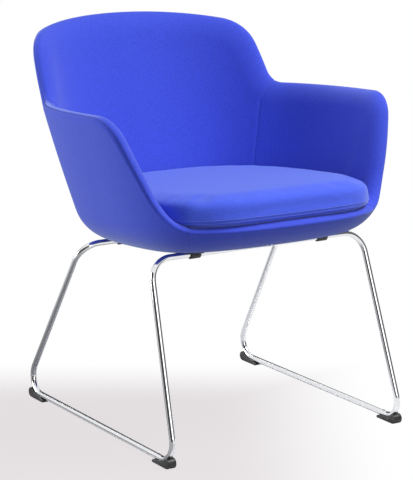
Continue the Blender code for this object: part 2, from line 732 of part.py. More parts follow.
for (end_name, end), rail_y in zip(ENDS, (0.0, RAIL_SPACING)):
    SADDLE_SPREAD = base_half_width(rail_y + end * SCREW_SETBACK, SADDLE_INSET)
    for side_name, side in SIDES:
        clamp = f"{end_name}_{side_name}"
        saddle_mesh = slab_mesh("saddle", saddle_outline(), SADDLE_WIDTH / 2)
        along_rail = Matrix(((0, 0, 1), (1, 0, 0), (0, 1, 0))).to_4x4()
        saddle_mesh.transform(along_rail)
        saddle = part(f"{clamp}_saddle", saddle_mesh, black_plastic, deck)
        saddle.location = (side * SADDLE_SPREAD, rail_y, -RAIL_TO_DECK)
        for edge_name, edge in (("fore", -1), ("aft", 1)):
            place = (side * SADDLE_SPREAD, rail_y + edge * SCREW_SETBACK, 0.0)
            turned(f"{clamp}_{edge_name}_screw", screw_profile, zinc_steel, deck, place)
            turned(f"{clamp}_{edge_name}_tee_nut", nut_profile, zinc_steel, deck, place)
            screw_drill = helper(f"{clamp}_{edge_name}_screw_drill", cylinder_mesh(
                "drill", screw_hole_radius, head_top - SCREW_HEAD_HEIGHT, SHELL_DEPTH - SEAT_GAP / 2, place), deck)
            boolean(saddle, screw_drill, "DIFFERENCE")
            boolean(bottom_panel, screw_drill, "DIFFERENCE")
            nut_drill = helper(f"{clamp}_{edge_name}_nut_drill", cylinder_mesh(
                "drill", tee_hole_radius, COVER_THICKNESS + SEAT_GAP, DECK_HEIGHT, place), deck)
            boolean(tub_shell, nut_drill, "DIFFERENCE")


# Seat: foam deck over the tee nuts, and the crowned loose cushion
def pad_face(around, clear):
    """A point beside the pads, just above the cushion's lower edge, as (x, y) on the deck plane."""
    low_edge = DECK_HEIGHT + CUSHION_ROUND
    level = deck_height(wall_point(around, base_round(around)[0]).y) + low_edge
    face = wall_point(around, level, RIM_THICKNESS + clear)
    return face.x, deck_local_y(face.y, low_edge)


def cushion_edge(turn, inset):
    """The cushion's edge on the deck plane: behind its widest line it follows the pads."""
    if math.sin(turn) >= 0:
        around = WIDEST_AROUND * abs(turn - math.pi / 2) / (math.pi / 2)
        x, y = pad_face(around, CUSHION_SIDE_GAP + inset)
        return math.copysign(x, math.cos(turn)), y
    half_width, middle = pad_face(WIDEST_AROUND, CUSHION_SIDE_GAP + inset)
    front = deck_local_y(wall_point(PLAN_LENGTH, FRONT_LIP_HEIGHT).y + CUSHION_FRONT_SETBACK + inset, DECK_HEIGHT)
    x = half_width * abs(math.cos(turn)) ** (2 / CUSHION_FRONT_SQUARENESS)
    y = (middle - front) * abs(math.sin(turn)) ** (2 / CUSHION_FRONT_SQUARENESS)
    return math.copysign(x, math.cos(turn)), middle - y


deck_foam_base = flange_base + TEE_NUT_FLANGE_THICKNESS + SEAT_GAP
foam_outline = base_outline(-DECK_OVERHANG)
foam_half = (DECK_HEIGHT - SEAT_GAP - deck_foam_base) / 2
deck_foam = part("seat_deck_foam", slab_mesh("deck_foam", foam_outline, foam_half), foam, deck)
deck_foam.location = (0.0, 0.0, deck_foam_base + foam_half)

cushion_middle = pad_face(WIDEST_AROUND, 0.0)[1]
cushion_work = bmesh.new()
bmesh.ops.create_uvsphere(cushion_work, u_segments=48, v_segments=14, radius=1.0)
for vertex in cushion_work.verts:
    level = max(-1.0, min(1.0, vertex.co.z))
    spread = math.sqrt(max(0.0, 1 - level ** 2)) ** (2 / CUSHION_EDGE_SQUARENESS)
    lift = math.copysign(abs(level) ** (2 / CUSHION_EDGE_SQUARENESS), level)
    turn = math.atan2(vertex.co.y, vertex.co.x)
    edge_x, edge_y = cushion_edge(turn, CUSHION_DRAW_IN * (1 - abs(lift)) * math.cos(2 * turn) ** 2)
    crown = CUSHION_CROWN * (1 - spread ** 2) if level > 0 else 0.0
    height = CUSHION_THICKNESS / 2 * (1 + lift) + crown
    vertex.co = (edge_x * spread, cushion_middle + (edge_y - cushion_middle) * spread, height)
bmesh.ops.recalc_face_normals(cushion_work, faces=cushion_work.faces)
cushion_mesh = bpy.data.meshes.new("cushion")
cushion_work.to_mesh(cushion_mesh)
cushion_work.free()
cushion = part("seat_cushion", cushion_mesh, blue_fabric, deck, 60.0)
cushion.location = (0.0, 0.0, DECK_HEIGHT)

# Origin: on the floor, under the middle of the whole chair
bpy.context.view_layer.update()
graph = bpy.context.evaluated_depsgraph_get()
reach_y = []
for obj in parts.objects:
    if obj.type == "MESH":
        evaluated = obj.evaluated_get(graph)
        reach_y += [(evaluated.matrix_world @ vertex.co).y for vertex in evaluated.data.vertices]
chair.location.y = -(min(reach_y) + max(reach_y)) / 2
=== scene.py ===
import math

import bmesh
import bpy
import numpy as np
from mathutils import Matrix, Vector, noise
from mathutils.bvhtree import BVHTree


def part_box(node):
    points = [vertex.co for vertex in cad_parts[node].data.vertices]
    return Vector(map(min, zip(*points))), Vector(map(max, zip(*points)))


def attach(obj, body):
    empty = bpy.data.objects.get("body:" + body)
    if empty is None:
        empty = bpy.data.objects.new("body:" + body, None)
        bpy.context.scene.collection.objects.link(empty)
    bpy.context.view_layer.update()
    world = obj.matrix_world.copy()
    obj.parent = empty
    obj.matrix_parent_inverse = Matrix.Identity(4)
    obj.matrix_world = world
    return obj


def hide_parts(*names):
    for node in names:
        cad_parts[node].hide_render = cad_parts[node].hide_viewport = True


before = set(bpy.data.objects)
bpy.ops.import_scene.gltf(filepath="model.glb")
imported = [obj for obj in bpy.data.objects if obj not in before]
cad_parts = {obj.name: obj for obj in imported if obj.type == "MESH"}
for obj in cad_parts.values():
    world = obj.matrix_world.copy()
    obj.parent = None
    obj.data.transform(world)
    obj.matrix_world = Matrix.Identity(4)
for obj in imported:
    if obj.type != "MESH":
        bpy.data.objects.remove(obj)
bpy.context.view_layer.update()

# Sled frame. A 12 mm round steel rod, bent cold into two side loops that run on into the rails under the
# seat. The halves are butt-welded in the middle of both rails, polished and chrome plated.
ROD_RADIUS = 0.006
ROD_SIDES = 32
SKID_HALF_SPREAD = 0.2616
SKID_HEIGHT = 0.0115
SKID_HALF_LENGTH = 0.3015
# Each rail's place along the chair, and its height.
FRONT_RAIL = (-0.180, 0.375)
REAR_RAIL = (0.0892, 0.3525)
SIDE_LEAN_IN = 0.0543
RAIL_BEND_RADIUS = 0.045
FOOT_BEND_RADIUS = 0.036
BEND_STEP_DEGREES = 4
WELD_GAP = 0.0003
SIDES = (("left", -1), ("right", 1))
# Places along the chair count from the middle of the skids. chair_y takes them to where the solids stand.
FRONT_TOE_Y = -0.29051
chair_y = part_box("front_left_glide")[0].y - FRONT_TOE_Y


def rod_corners(side):
    """Corners of the rod's centre line, from the front weld down, along the skid and up to the rear weld."""
    weld_x = side * WELD_GAP / 2
    front_x = side * (SKID_HALF_SPREAD - SIDE_LEAN_IN * (FRONT_RAIL[1] - SKID_HEIGHT))
    rear_x = side * (SKID_HALF_SPREAD - SIDE_LEAN_IN * (REAR_RAIL[1] - SKID_HEIGHT))
    skid_x = side * SKID_HALF_SPREAD
    corners = [
        (weld_x, *FRONT_RAIL),
        (front_x, *FRONT_RAIL),
        (skid_x, -SKID_HALF_LENGTH, SKID_HEIGHT),
        (skid_x, SKID_HALF_LENGTH, SKID_HEIGHT),
        (rear_x, *REAR_RAIL),
        (weld_x, *REAR_RAIL),
    ]
    return [Vector((x, y + chair_y, z)) for x, y, z in corners]


def run_straight(work, rim, way):
    """Draws the open end of a tube along a straight way, and gives the new end."""
    drawn = bmesh.ops.extrude_edge_only(work, edges=rim)["geom"]
    tip = [item for item in drawn if isinstance(item, bmesh.types.BMVert)]
    bmesh.ops.translate(work, verts=tip, vec=way)
    held = set(tip)
    edges = [item for item in drawn if isinstance(item, bmesh.types.BMEdge)]
    return [edge for edge in edges if edge.verts[0] in held and edge.verts[1] in held]


def bent_rod(side, radius):
    """A rod run straight between its corners and bent round each of them."""
    corners = rod_corners(side)
    radii = (RAIL_BEND_RADIUS, FOOT_BEND_RADIUS, FOOT_BEND_RADIUS, RAIL_BEND_RADIUS)
    work = bmesh.new()
    lie_along_rail = Matrix.Translation(corners[0]) @ Matrix.Rotation(math.pi / 2, 4, "Y")
    bmesh.ops.create_circle(work, cap_ends=True, segments=ROD_SIDES, radius=radius, matrix=lie_along_rail)
    rim = list(work.edges)
    place = corners[0]
    for before, corner, after, bend in zip(corners, corners[1:], corners[2:], radii):
        to_before = (before - corner).normalized()
        to_after = (after - corner).normalized()
        half_angle = to_before.angle(to_after) / 2
        centre = corner + (to_before + to_after).normalized() * bend / math.sin(half_angle)
        bend_start = corner + to_before * bend / math.tan(half_angle)
        rim = run_straight(work, rim, bend_start - place)
        turn = math.pi - 2 * half_angle
        steps = math.ceil(math.degrees(turn) / BEND_STEP_DEGREES)
        axis = to_before.cross(bend_start - centre)
        bent = bmesh.ops.spin(work, geom=rim, cent=centre, axis=axis, angle=turn, steps=steps)
        rim = [item for item in bent["geom_last"] if isinstance(item, bmesh.types.BMEdge)]
        place = corner + to_after * bend / math.tan(half_angle)
    rim = run_straight(work, rim, corners[-1] - place)
    bmesh.ops.contextual_create(work, geom=rim)
    bmesh.ops.recalc_face_normals(work, faces=work.faces)
    return work


def blank_finish(name, colour, roughness, metallic=0.0):
    """A material with its plain values set, and its node tree and shader for the detail."""
    material = bpy.data.materials.new(name)
    material.use_nodes = True
    tree = material.node_tree
    shader = tree.nodes["Principled BSDF"]
    shader.inputs["Base Color"].default_value = (*colour, 1.0)
    shader.inputs["Roughness"].default_value = roughness
    shader.inputs["Metallic"].default_value = metallic
    return material, tree, shader


def add_node(tree, kind, **settings):
    """A node with its settings, and with the numbers for its named sockets."""
    node = tree.nodes.new(kind)
    for key, value in settings.items():
        if key in node.inputs:
            node.inputs[key].default_value = value
        else:
            setattr(node, key, value)
    return node


def grain(tree, scale, detail=3.0):
    """Noise over the object's own metres."""
    place = add_node(tree, "ShaderNodeTexCoord")
    specks = add_node(tree, "ShaderNodeTexNoise", Scale=scale, Detail=detail)
    tree.links.new(place.outputs["Object"], specks.inputs["Vector"])
    return specks.outputs["Fac"]


def drawn_out(tree, value, source, target, way="LINEAR"):
    """A value that runs between two numbers, drawn out to run between two others."""
    node = add_node(tree, "ShaderNodeMapRange", interpolation_type=way)
    for key, number in zip(("From Min", "From Max", "To Min", "To Max"), (*source, *target)):
        node.inputs[key].default_value = number
    tree.links.new(value, node.inputs["Value"])
    return node.outputs["Result"]


NOISE_REACH = (0.3, 0.7)


def uneven_gloss(tree, shader, scale, low, high):
    """Roughness that wanders between two numbers with a noise, which mostly stays in its middle reach."""
    wander = drawn_out(tree, grain(tree, scale), NOISE_REACH, (low, high))
    tree.links.new(wander, shader.inputs["Roughness"])


def mesh_of(name, work):
    """The mesh of a worked shape."""
    mesh = bpy.data.meshes.new(name)
    work.to_mesh(mesh)
    return mesh


def new_object(name, data):
    """An object of a mesh, a lamp or a camera, in the scene."""
    obj = bpy.data.objects.new(name, data)
    bpy.context.scene.collection.objects.link(obj)
    return obj


def set_piece(name, work, material, nodes, sharp_degrees=40.0):
    """The finished object of a piece, put in the place of its solids."""
    mesh = mesh_of(name, work)
    work.free()
    mesh.materials.append(material)
    mesh.shade_smooth()
    mesh.set_sharp_from_angle(angle=math.radians(sharp_degrees))
    piece = new_object(name, mesh)
    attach(piece, "root")
    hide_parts(*nodes)
    return piece


chrome, chrome_tree, chrome_shader = blank_finish("polished_chrome", (0.80, 0.81, 0.83), 0.07, metallic=1.0)
uneven_gloss(chrome_tree, chrome_shader, scale=130.0, low=0.03, high=0.07)
for side_name, side in SIDES:
    loop = bent_rod(side, ROD_RADIUS)
    set_piece(f"{side_name}_chrome_loop", loop, chrome, [f"{side_name}_frame_loop"])

# Floor glides. A wedge of black injection-moulded plastic under each foot bend, grooved to the rod, with a
# peg that snaps up through a hole in the rod and shows its rounded end on top of the skid.
GLIDE_WIDTH = 0.018
GLIDE_TAIL = 0.022
GLIDE_TAIL_HEIGHT = 0.005
GLIDE_TOE = 0.039
GLIDE_TOE_HEIGHT = 0.020
GLIDE_CHEEK_DROP = 0.002
GLIDE_TOE_ROUND_END = 75.0
GLIDE_TOE_POINTS = 14
GLIDE_CHEEK_POINTS = 16
GLIDE_EDGE_ROUND = 0.0009
GLIDE_GROOVE_GAP = 0.0002
PEG_RADIUS = 0.0025
PEG_SETBACK = 0.009
PEG_STAND = 0.0008
PEG_SUNK = 0.0006
ENDS = (("front", -1), ("rear", 1))
# Where the straight part of the skid ends and the foot bends begin.
FOOT_BEND_STARTS = {"front": -0.251509, "rear": 0.236680}


def arc_points(centre, radius, start_degrees, end_degrees, count):
    """Points along an arc of a flat outline."""
    angles = np.radians(np.linspace(start_degrees, end_degrees, count))
    return [(centre[0] + radius * math.cos(a), centre[1] + radius * math.sin(a)) for a in angles]


ROUNDED_ABOVE = math.radians(35)


def outlined_slab(outline, thickness, place, edge_round):
    """A flat outline in a piece's own XY, drawn out along its Z, with rounded edges."""
    work = bmesh.new()
    corners = [work.verts.new((x, y, -thickness / 2)) for x, y in outline]
    sheet = work.faces.new(corners)
    drawn = bmesh.ops.extrude_face_region(work, geom=[sheet])["geom"]
    lifted = [item for item in drawn if isinstance(item, bmesh.types.BMVert)]
    bmesh.ops.translate(work, verts=lifted, vec=(0.0, 0.0, thickness))
    bmesh.ops.recalc_face_normals(work, faces=work.faces)
    sharp = [edge for edge in work.edges if edge.calc_face_angle(0.0) > ROUNDED_ABOVE]
    bmesh.ops.bevel(work, geom=sharp, offset=edge_round, affect="EDGES", segments=3, profile=0.5, material=-1,
                    clamp_overlap=True)
    bmesh.ops.transform(work, matrix=place, verts=work.verts)
    bmesh.ops.recalc_face_normals(work, faces=work.faces)
    return work


def cut_away(work, tool):
    """The shape with the tool's shape cut out of it."""
    pair = (("uncut", work), ("tool", tool))
    uncut, cutter = (new_object(name, mesh_of(name, shape)) for name, shape in pair)
    cut = uncut.modifiers.new("cut", "BOOLEAN")
    cut.operation = "DIFFERENCE"
    cut.solver = "EXACT"
    cut.object = cutter
    result = uncut.evaluated_get(bpy.context.evaluated_depsgraph_get())
    work.clear()
    work.from_mesh(result.to_mesh())
    result.to_mesh_clear()
    for obj in (uncut, cutter):
        bpy.data.meshes.remove(obj.data)
    return work


def glide_outline():
    """Side view: along the sole towards the toe, then height, from the start of the bend."""
    bend_centre = (0.0, SKID_HEIGHT + FOOT_BEND_RADIUS)
    cheek_radius = FOOT_BEND_RADIUS + GLIDE_CHEEK_DROP
    toe_angle = math.degrees(math.acos((bend_centre[1] - GLIDE_TOE_HEIGHT) / cheek_radius))
    toe_round = GLIDE_TOE_HEIGHT / 2
    outline = [(-GLIDE_TAIL, 0.0)]
    toe_centre = (GLIDE_TOE - toe_round, toe_round)
    outline += arc_points(toe_centre, toe_round, -90.0, GLIDE_TOE_ROUND_END, GLIDE_TOE_POINTS)
    outline += arc_points(bend_centre, cheek_radius, toe_angle - 90.0, -90.0, GLIDE_CHEEK_POINTS)
    outline.append((-GLIDE_TAIL, GLIDE_TAIL_HEIGHT))
    return outline


def peg_end(work, place):
    """The peg's domed end on top of the rod."""
    flatten = Matrix.Diagonal((1.0, 1.0, (PEG_STAND + PEG_SUNK) / PEG_RADIUS, 1.0))
    bmesh.ops.create_uvsphere(work, u_segments=16, v_segments=8, radius=PEG_RADIUS, matrix=place @ flatten)


def roughen(tree, shader, height, distance, strength):
    """Fine relief from a height, as a bump."""
    bump = add_node(tree, "ShaderNodeBump", Strength=strength, Distance=distance)
    tree.links.new(height, bump.inputs["Height"])
    tree.links.new(bump.outputs["Normal"], shader.inputs["Normal"])


plastic, plastic_tree, plastic_shader = blank_finish("moulded_black_plastic", (0.014, 0.014, 0.015), 0.42)
uneven_gloss(plastic_tree, plastic_shader, scale=260.0, low=0.34, high=0.52)
roughen(plastic_tree, plastic_shader, grain(plastic_tree, 1900.0), distance=0.0002, strength=0.25)
for side_name, side in SIDES:
    groove = bent_rod(side, ROD_RADIUS + GLIDE_GROOVE_GAP)
    for end_name, end in ENDS:
        bend_start = FOOT_BEND_STARTS[end_name] + chair_y
        upright = Matrix(((0, 0, end), (end, 0, 0), (0, 1, 0))).to_4x4()
        stand = Matrix.Translation((side * SKID_HALF_SPREAD, bend_start, 0.0)) @ upright
        glide = cut_away(outlined_slab(glide_outline(), GLIDE_WIDTH, stand, GLIDE_EDGE_ROUND), groove)
        rod_top = SKID_HEIGHT + ROD_RADIUS
        peg_place = (side * SKID_HALF_SPREAD, bend_start - end * PEG_SETBACK, rod_top - PEG_SUNK)
        peg_end(glide, Matrix.Translation(peg_place))
        set_piece(f"{end_name}_{side_name}_floor_glide", glide, plastic,
                  [f"{end_name}_{side_name}_glide"])
    groove.free()

# Tub shell and tee nuts. The tub is a thin moulded plywood shell with zinc-plated tee nuts pressed into its
# floor. Both are hidden once the chair is upholstered, so their solids stay and take their own finish.


def tint(tree, shader, value, first, second, socket="Base Color"):
    """Colour that runs between two tones with a value."""
    tones = add_node(tree, "ShaderNodeMix", data_type="RGBA")
    colour_a, colour_b = (plug for plug in tones.inputs if plug.type == "RGBA")
    colour_a.default_value = (*first, 1.0)
    colour_b.default_value = (*second, 1.0)
    tree.links.new(value, tones.inputs["Factor"])
    result = next(plug for plug in tones.outputs if plug.type == "RGBA")
    tree.links.new(result, shader.inputs[socket])


def mottle(tree, shader, specks, dark, light):
    """Colour that wanders between two tones with the specks of a noise."""
    tint(tree, shader, drawn_out(tree, specks, NOISE_REACH, (0.0, 1.0)), dark, light)


def refinish(node, material):
    """Gives a solid that stays its own finish."""
    node.data.materials.clear()
    node.data.materials.append(material)


ply, ply_tree, ply_shader = blank_finish("moulded_beech_ply", (0.56, 0.40, 0.24), 0.6)
ply_place = add_node(ply_tree, "ShaderNodeTexCoord")
ply_stretch = add_node(ply_tree, "ShaderNodeMapping", Scale=(6.0, 6.0, 160.0))
ply_lines = add_node(ply_tree, "ShaderNodeTexNoise", Scale=2.0, Detail=6.0)
ply_tree.links.new(ply_place.outputs["Object"], ply_stretch.inputs["Vector"])
ply_tree.links.new(ply_stretch.outputs["Vector"], ply_lines.inputs["Vector"])
mottle(ply_tree, ply_shader, ply_lines.outputs["Fac"], (0.46, 0.31, 0.17), (0.64, 0.47, 0.29))
zinc, zinc_tree, zinc_shader = blank_finish("zinc_plate", (0.62, 0.62, 0.60), 0.35, metallic=1.0)
uneven_gloss(zinc_tree, zinc_shader, scale=420.0, low=0.26, high=0.46)
for node_name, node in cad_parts.items():
    if node_name == "tub_shell":
        refinish(node, ply)
    if node_name.endswith("_tee_nut"):
        refinish(node, zinc)

# Inner pads. Moulded foam glued to the inside of the shell, under a tight wool cloth that folds over the rim
# to a seam on the outside. Three panels: the back, and an arm at each side, sewn together edge to edge.
BASE_SLOPE = math.radians(4.7777)
RAIL_TO_DECK = 0.0063
DECK_Y = RAIL_TO_DECK * math.sin(BASE_SLOPE)
DECK_Z = RAIL_TO_DECK * math.cos(BASE_SLOPE)
ARM_LEVEL = 0.260
PLAN_WIDEST_Y = 0.115
PLAN_HALF_WIDTH = 0.3275
# How far the plan reaches from its widest line, and how square its corners are.
PLAN_BACK = (0.400, 2.37)
PLAN_FRONT = (0.313, 2.68)
WALL_FLARE = 0.252
WALL_BOW = 0.050435
BACK_RECLINE = 0.084
BASE_RADIUS = 0.085
FRONT_BASE_EXTRA_RADIUS = 0.042
# Corners of the rim on the unrolled wall: place, height and radius. The crown is in the middle of the back,
# and the nose and foot of the arm count from the widest line.
BACK_CROWN = (0.4135, 1.34)
BACK_CORNER = (0.262, 0.372, 0.106)
ARM_ROOT = (0.3345, 0.251, 0.0475)
ARM_NOSE = (0.0970, 0.268, 0.0740)
ARM_FOOT = (0.2075, 0.063, 0.125)
FRONT_LIP_HEIGHT = 0.0640
BACK_SEAM = 0.342
BACK_SEAM_LEAN = 0.016
FRONT_SEAM = 0.2620
# Sizes of the rolled rim at stations round the wall, from the middle of the back to the middle of the front.
RIM_STATIONS = (0.0, 0.33, 0.60, 0.70, 0.79, 0.853, 1.121)
RIM_LIP = (0.015, 0.014, 0.013, 0.012, 0.0075, 0.0035, 0.003)
RIM_CREST = (0.011, 0.011, 0.010, 0.010, 0.0070, 0.0045, 0.0045)
RIM_THICKNESS = (0.031, 0.031, 0.033, 0.034, 0.028, 0.022, 0.021)
RIM_SHOULDER = (0.050, 0.050, 0.042, 0.038, 0.028, 0.009, 0.006)
RIM_SEAM_ANGLE = (45.0, 60.0, 60.0, 50.0, 46.0, 45.0, 45.0)
RIM_SEAM_HALF_GAP = 0.1
PAD_DEPTH = 0.0142
PAD_END = 0.84
SEAM_HALF_GAP = 0.00005
SEAM_ROLL_WIDTH = 0.0065
SEAM_ROLL_DROP = 0.0016
RIM_SEAM_ROLL = (0.0035, 0.0008)
RIM_SEAM_SHOWS = (1.0, 1.9, 1.9, 1.0, 0.4, 0.0, 0.0)
PLAN_POINTS = 6001
RIM_BEND_POINTS = 60
RIM_LOOK_AHEAD = 0.004
COLUMN_STEP = 0.0065
SEAM_COLUMNS = (0.0, 0.05, 0.14, 0.27, 0.45, 0.7)
PAD_RIM_ROWS = 26
PAD_WALL_ROWS = 47
SEAM_CROWDING = 1.4
CLOTH_UNEVENNESS = 0.00022
CLOTH_UNEVEN_OVER = 0.07
CLOTH_SHARP_DEGREES = 60.0


def signed_power(values, power):
    """A power that keeps the sign."""
    return np.sign(values) * np.abs(values) ** power


def tub_plan():
    """The tub's plan at arm height, from the middle of the back to the middle of the front."""
    angle = np.linspace(math.pi / 2, -math.pi / 2, PLAN_POINTS)
    sine = np.sin(angle)
    reach = np.where(sine >= 0, PLAN_BACK[0], PLAN_FRONT[0])
    square = np.where(sine >= 0, PLAN_BACK[1], PLAN_FRONT[1])
    x = PLAN_HALF_WIDTH * np.clip(np.cos(angle), 0.0, None) ** (2 / square)
    rise = signed_power(sine, 2 / square)
    y = PLAN_WIDEST_Y + reach * rise
    out_x = (x / PLAN_HALF_WIDTH) ** (square - 1) / PLAN_HALF_WIDTH
    out_y = signed_power(rise, square - 1) / reach
    length = np.hypot(out_x, out_y)
    around = np.concatenate([[0.0], np.cumsum(np.hypot(np.diff(x), np.diff(y)))])
    return around, x, y, out_x / length, out_y / length


PLAN = tub_plan()
PLAN_LENGTH = float(PLAN[0][-1])
WIDEST_AROUND = float(np.interp(0.0, PLAN_WIDEST_Y - PLAN[2], PLAN[0]))


def deck_height(y):
    """Height of the sloping deck plane, on which the tub's base lies."""
    return DECK_Z - (y - DECK_Y) * math.tan(BASE_SLOPE)


def wall_lean(height, out_y):
    """How far the wall stands out of its plan at a height. It leans further at the back."""
    rise = height - ARM_LEVEL
    flare = WALL_FLARE + BACK_RECLINE * np.clip(out_y, 0.0, None) ** 2
    return flare * rise - WALL_BOW * rise ** 2 / PLAN_HALF_WIDTH


def wall_slope(height):
    """The wall's slope out of the upright at a height."""
    return np.arctan(WALL_FLARE - 2 * WALL_BOW * (height - ARM_LEVEL) / PLAN_HALF_WIDTH)


BASE_PASSES = 8


def base_round(y, out_y):
    """Height of the base, radius of the rounding above it, where it ends, and the wall's slope there."""
    radius = BASE_RADIUS + FRONT_BASE_EXTRA_RADIUS * np.clip(-out_y, 0.0, None) ** 2
    base = deck_height(y)
    slope = np.full_like(y, math.atan(WALL_FLARE))
    for _ in range(BASE_PASSES):
        end = base + radius * (1 - np.sin(slope))
        slope = wall_slope(end)
        end = base + radius * (1 - np.sin(slope))
        base = deck_height(y + out_y * (wall_lean(end, out_y) - radius * np.cos(slope)))
    return base, radius, base + radius * (1 - np.sin(slope)), slope


def unrolled(place):
    """Which side of the chair a place round the wall is on, and the plan there."""
    side = np.where((place < 0) | (place > PLAN_LENGTH), -1.0, 1.0)
    around = np.where(place > PLAN_LENGTH, 2 * PLAN_LENGTH - place, np.abs(place))
    return side, [np.interp(around, PLAN[0], column) for column in PLAN[1:]]


def wall_points(place, height, depth):
    """Points of the tub wall, at a depth below its outer face."""
    side, (x, y, out_x, out_y) = unrolled(place)
    base, radius, round_end, end_slope = base_round(y, out_y)
    drop = np.clip((base + radius - height) / radius, -1.0, 1.0)
    above = height >= round_end
    slope = np.where(above, wall_slope(height), np.arcsin(drop))
    curve = wall_lean(round_end, out_y) + radius * (np.cos(slope) - np.cos(end_slope))
    out = np.where(above, wall_lean(height, out_y), curve) - depth * np.cos(slope)
    points = [side * (x + out_x * out), FRONT_RAIL[0] + chair_y + y + out_y * out,
              FRONT_RAIL[1] + height + depth * np.sin(slope)]
    return np.stack(points, axis=-1)


def down_wall(place, top, share):
    """Height at a share of the way down the wall from top to base, measured along its face."""
    _, (_, y, _, out_y) = unrolled(place)
    base, radius, round_end, slope = base_round(y, out_y)
    straight = np.clip(top - round_end, 0.0, None) / np.cos(slope)
    inside = np.arcsin(np.clip((base + radius - top) / radius, -1.0, 1.0))
    start = np.where(straight > 0, slope, inside)
    along = share * (straight + radius * (math.pi / 2 - start))
    turned = np.clip(start + (along - straight) / radius, None, math.pi / 2)
    return np.where(along <= straight, top - along * np.cos(slope), base + radius - radius * np.sin(turned))


def rim_outline():
    """The rim on the unrolled wall: back crown, corner, arm, nose and front lip, mirrored at both ends."""
    corners = [Vector((0.0, BACK_CROWN[0])), Vector(BACK_CORNER[:2]), Vector(ARM_ROOT[:2]),
               Vector((WIDEST_AROUND + ARM_NOSE[0], ARM_NOSE[1])),
               Vector((WIDEST_AROUND + ARM_FOOT[0], ARM_FOOT[1])), Vector((PLAN_LENGTH, FRONT_LIP_HEIGHT))]
    radii = [BACK_CROWN[1], BACK_CORNER[2], ARM_ROOT[2], ARM_NOSE[2], ARM_FOOT[2]]
    before_first = Vector((-BACK_CORNER[0], BACK_CORNER[1]))
    half = []
    for before, corner, after, radius in zip([before_first] + corners, corners, corners[1:], radii):
        to_before = (before - corner).normalized()
        to_after = (after - corner).normalized()
        half_angle = math.acos(to_before.dot(to_after)) / 2
        centre = corner + (to_before + to_after).normalized() * radius / math.sin(half_angle)
        start = corner + to_before * radius / math.tan(half_angle) - centre
        turn = math.copysign(math.pi - 2 * half_angle, to_before.x * start.y - to_before.y * start.x)
        for share in np.linspace(0.5 if corner is corners[0] else 0.0, 1.0, RIM_BEND_POINTS):
            half.append(tuple(centre + Matrix.Rotation(turn * share, 2) @ start))
    half.append(tuple(corners[-1]))
    half = np.array(half)
    behind = half[1:][::-1] * (-1, 1)
    ahead = half[:-1][::-1] * (-1, 1) + (2 * PLAN_LENGTH, 0.0)
    return np.concatenate([behind, half, ahead])


RIM = rim_outline()
RIM_RUN = np.concatenate([[0.0], np.cumsum(np.hypot(*np.diff(RIM, axis=0).T))])


def rim_at(run):
    """Places on the rim and the directions from them into the wall, square to the rim."""
    places = np.stack([np.interp(run, RIM_RUN, RIM[:, axis]) for axis in (0, 1)], axis=-1)
    ahead, behind = (np.stack([np.interp(run + way, RIM_RUN, RIM[:, axis]) for axis in (0, 1)], axis=-1)
                     for way in (RIM_LOOK_AHEAD, -RIM_LOOK_AHEAD))
    along = (ahead - behind) / np.linalg.norm(ahead - behind, axis=-1, keepdims=True)
    return places, np.stack([along[:, 1], -along[:, 0]], axis=-1)


def seam_to_seam(first, last):
    """Runs along the rim between two seams, close together at the seams, and how far each is from a seam."""
    start, end = (float(np.interp(place, RIM[:, 0], RIM_RUN)) for place in (first, last))
    start, end = start + SEAM_HALF_GAP, end - SEAM_HALF_GAP
    near = SEAM_ROLL_WIDTH * np.array(SEAM_COLUMNS)
    count = math.ceil((end - start - 2 * SEAM_ROLL_WIDTH) / COLUMN_STEP)
    middle = np.linspace(start + SEAM_ROLL_WIDTH, end - SEAM_ROLL_WIDTH, count + 1)
    run = np.concatenate([start + near, middle, (end - near)[::-1]])
    return run, np.minimum(run - start, end - run)


def along_rim(place, values):
    """A size of the rim that changes from the middle of the back to the middle of the front."""
    around = np.abs(np.where(place > PLAN_LENGTH, 2 * PLAN_LENGTH - place, place))
    stations, sizes = np.array(RIM_STATIONS), np.array(values)
    step = np.clip(np.searchsorted(stations, around, "right") - 1, 0, len(stations) - 2)
    share = np.clip((around - stations[step]) / (stations[step + 1] - stations[step]), 0.0, 1.0)
    return sizes[step] + (sizes[step + 1] - sizes[step]) * share ** 2 * (3 - 2 * share)


def rim_size(run, values):
    """A changing size of the rim, at runs along it."""
    return along_rim(rim_at(run)[0][:, 0], values)


def layer_points(run, rows):
    """Points of one face of a panel. A row lies at a distance in from the rim, or a share of the way down."""
    places, inward = rim_at(run)
    shoulder = places + inward * along_rim(places[:, 0], RIM_SHOULDER)[:, None]
    near_seam = np.interp(np.abs(places[:, 0]), (0.0, BACK_SEAM, WIDEST_AROUND), (0.0, 1.0, 0.0))
    lean = np.sign(places[:, 0]) * BACK_SEAM_LEAN * near_seam
    found = []
    for along, share, depth in rows:
        if share is None:
            spots = places + inward * np.reshape(along, (-1, 1))
            found.append(wall_points(spots[:, 0], spots[:, 1], depth))
        else:
            place = shoulder[:, 0] + lean * share
            height = down_wall(place, shoulder[:, 1], share)
            found.append(wall_points(place, height, depth))
    return np.array(found)


def rolled_edge(distance, width, drop):
    """How far cloth drops into a seam at a distance from it."""
    near = np.clip(1 - distance / width, 0.0, 1.0)
    return drop * (1 - np.sqrt(1 - near ** 2))


def tucked_edge(distance, width, drop):
    """How far cloth is drawn in, in a long soft curve, towards an edge that is tucked under its neighbour."""
    near = np.clip(1 - distance / width, 0.0, 1.0)
    return drop * near ** 2 * (3 - 2 * near)


def uneven(points, size, amount):
    """Slight unevenness of hand-stretched cloth."""
    return np.array([[amount * noise.noise(Vector(p) / size) for p in row] for row in points])


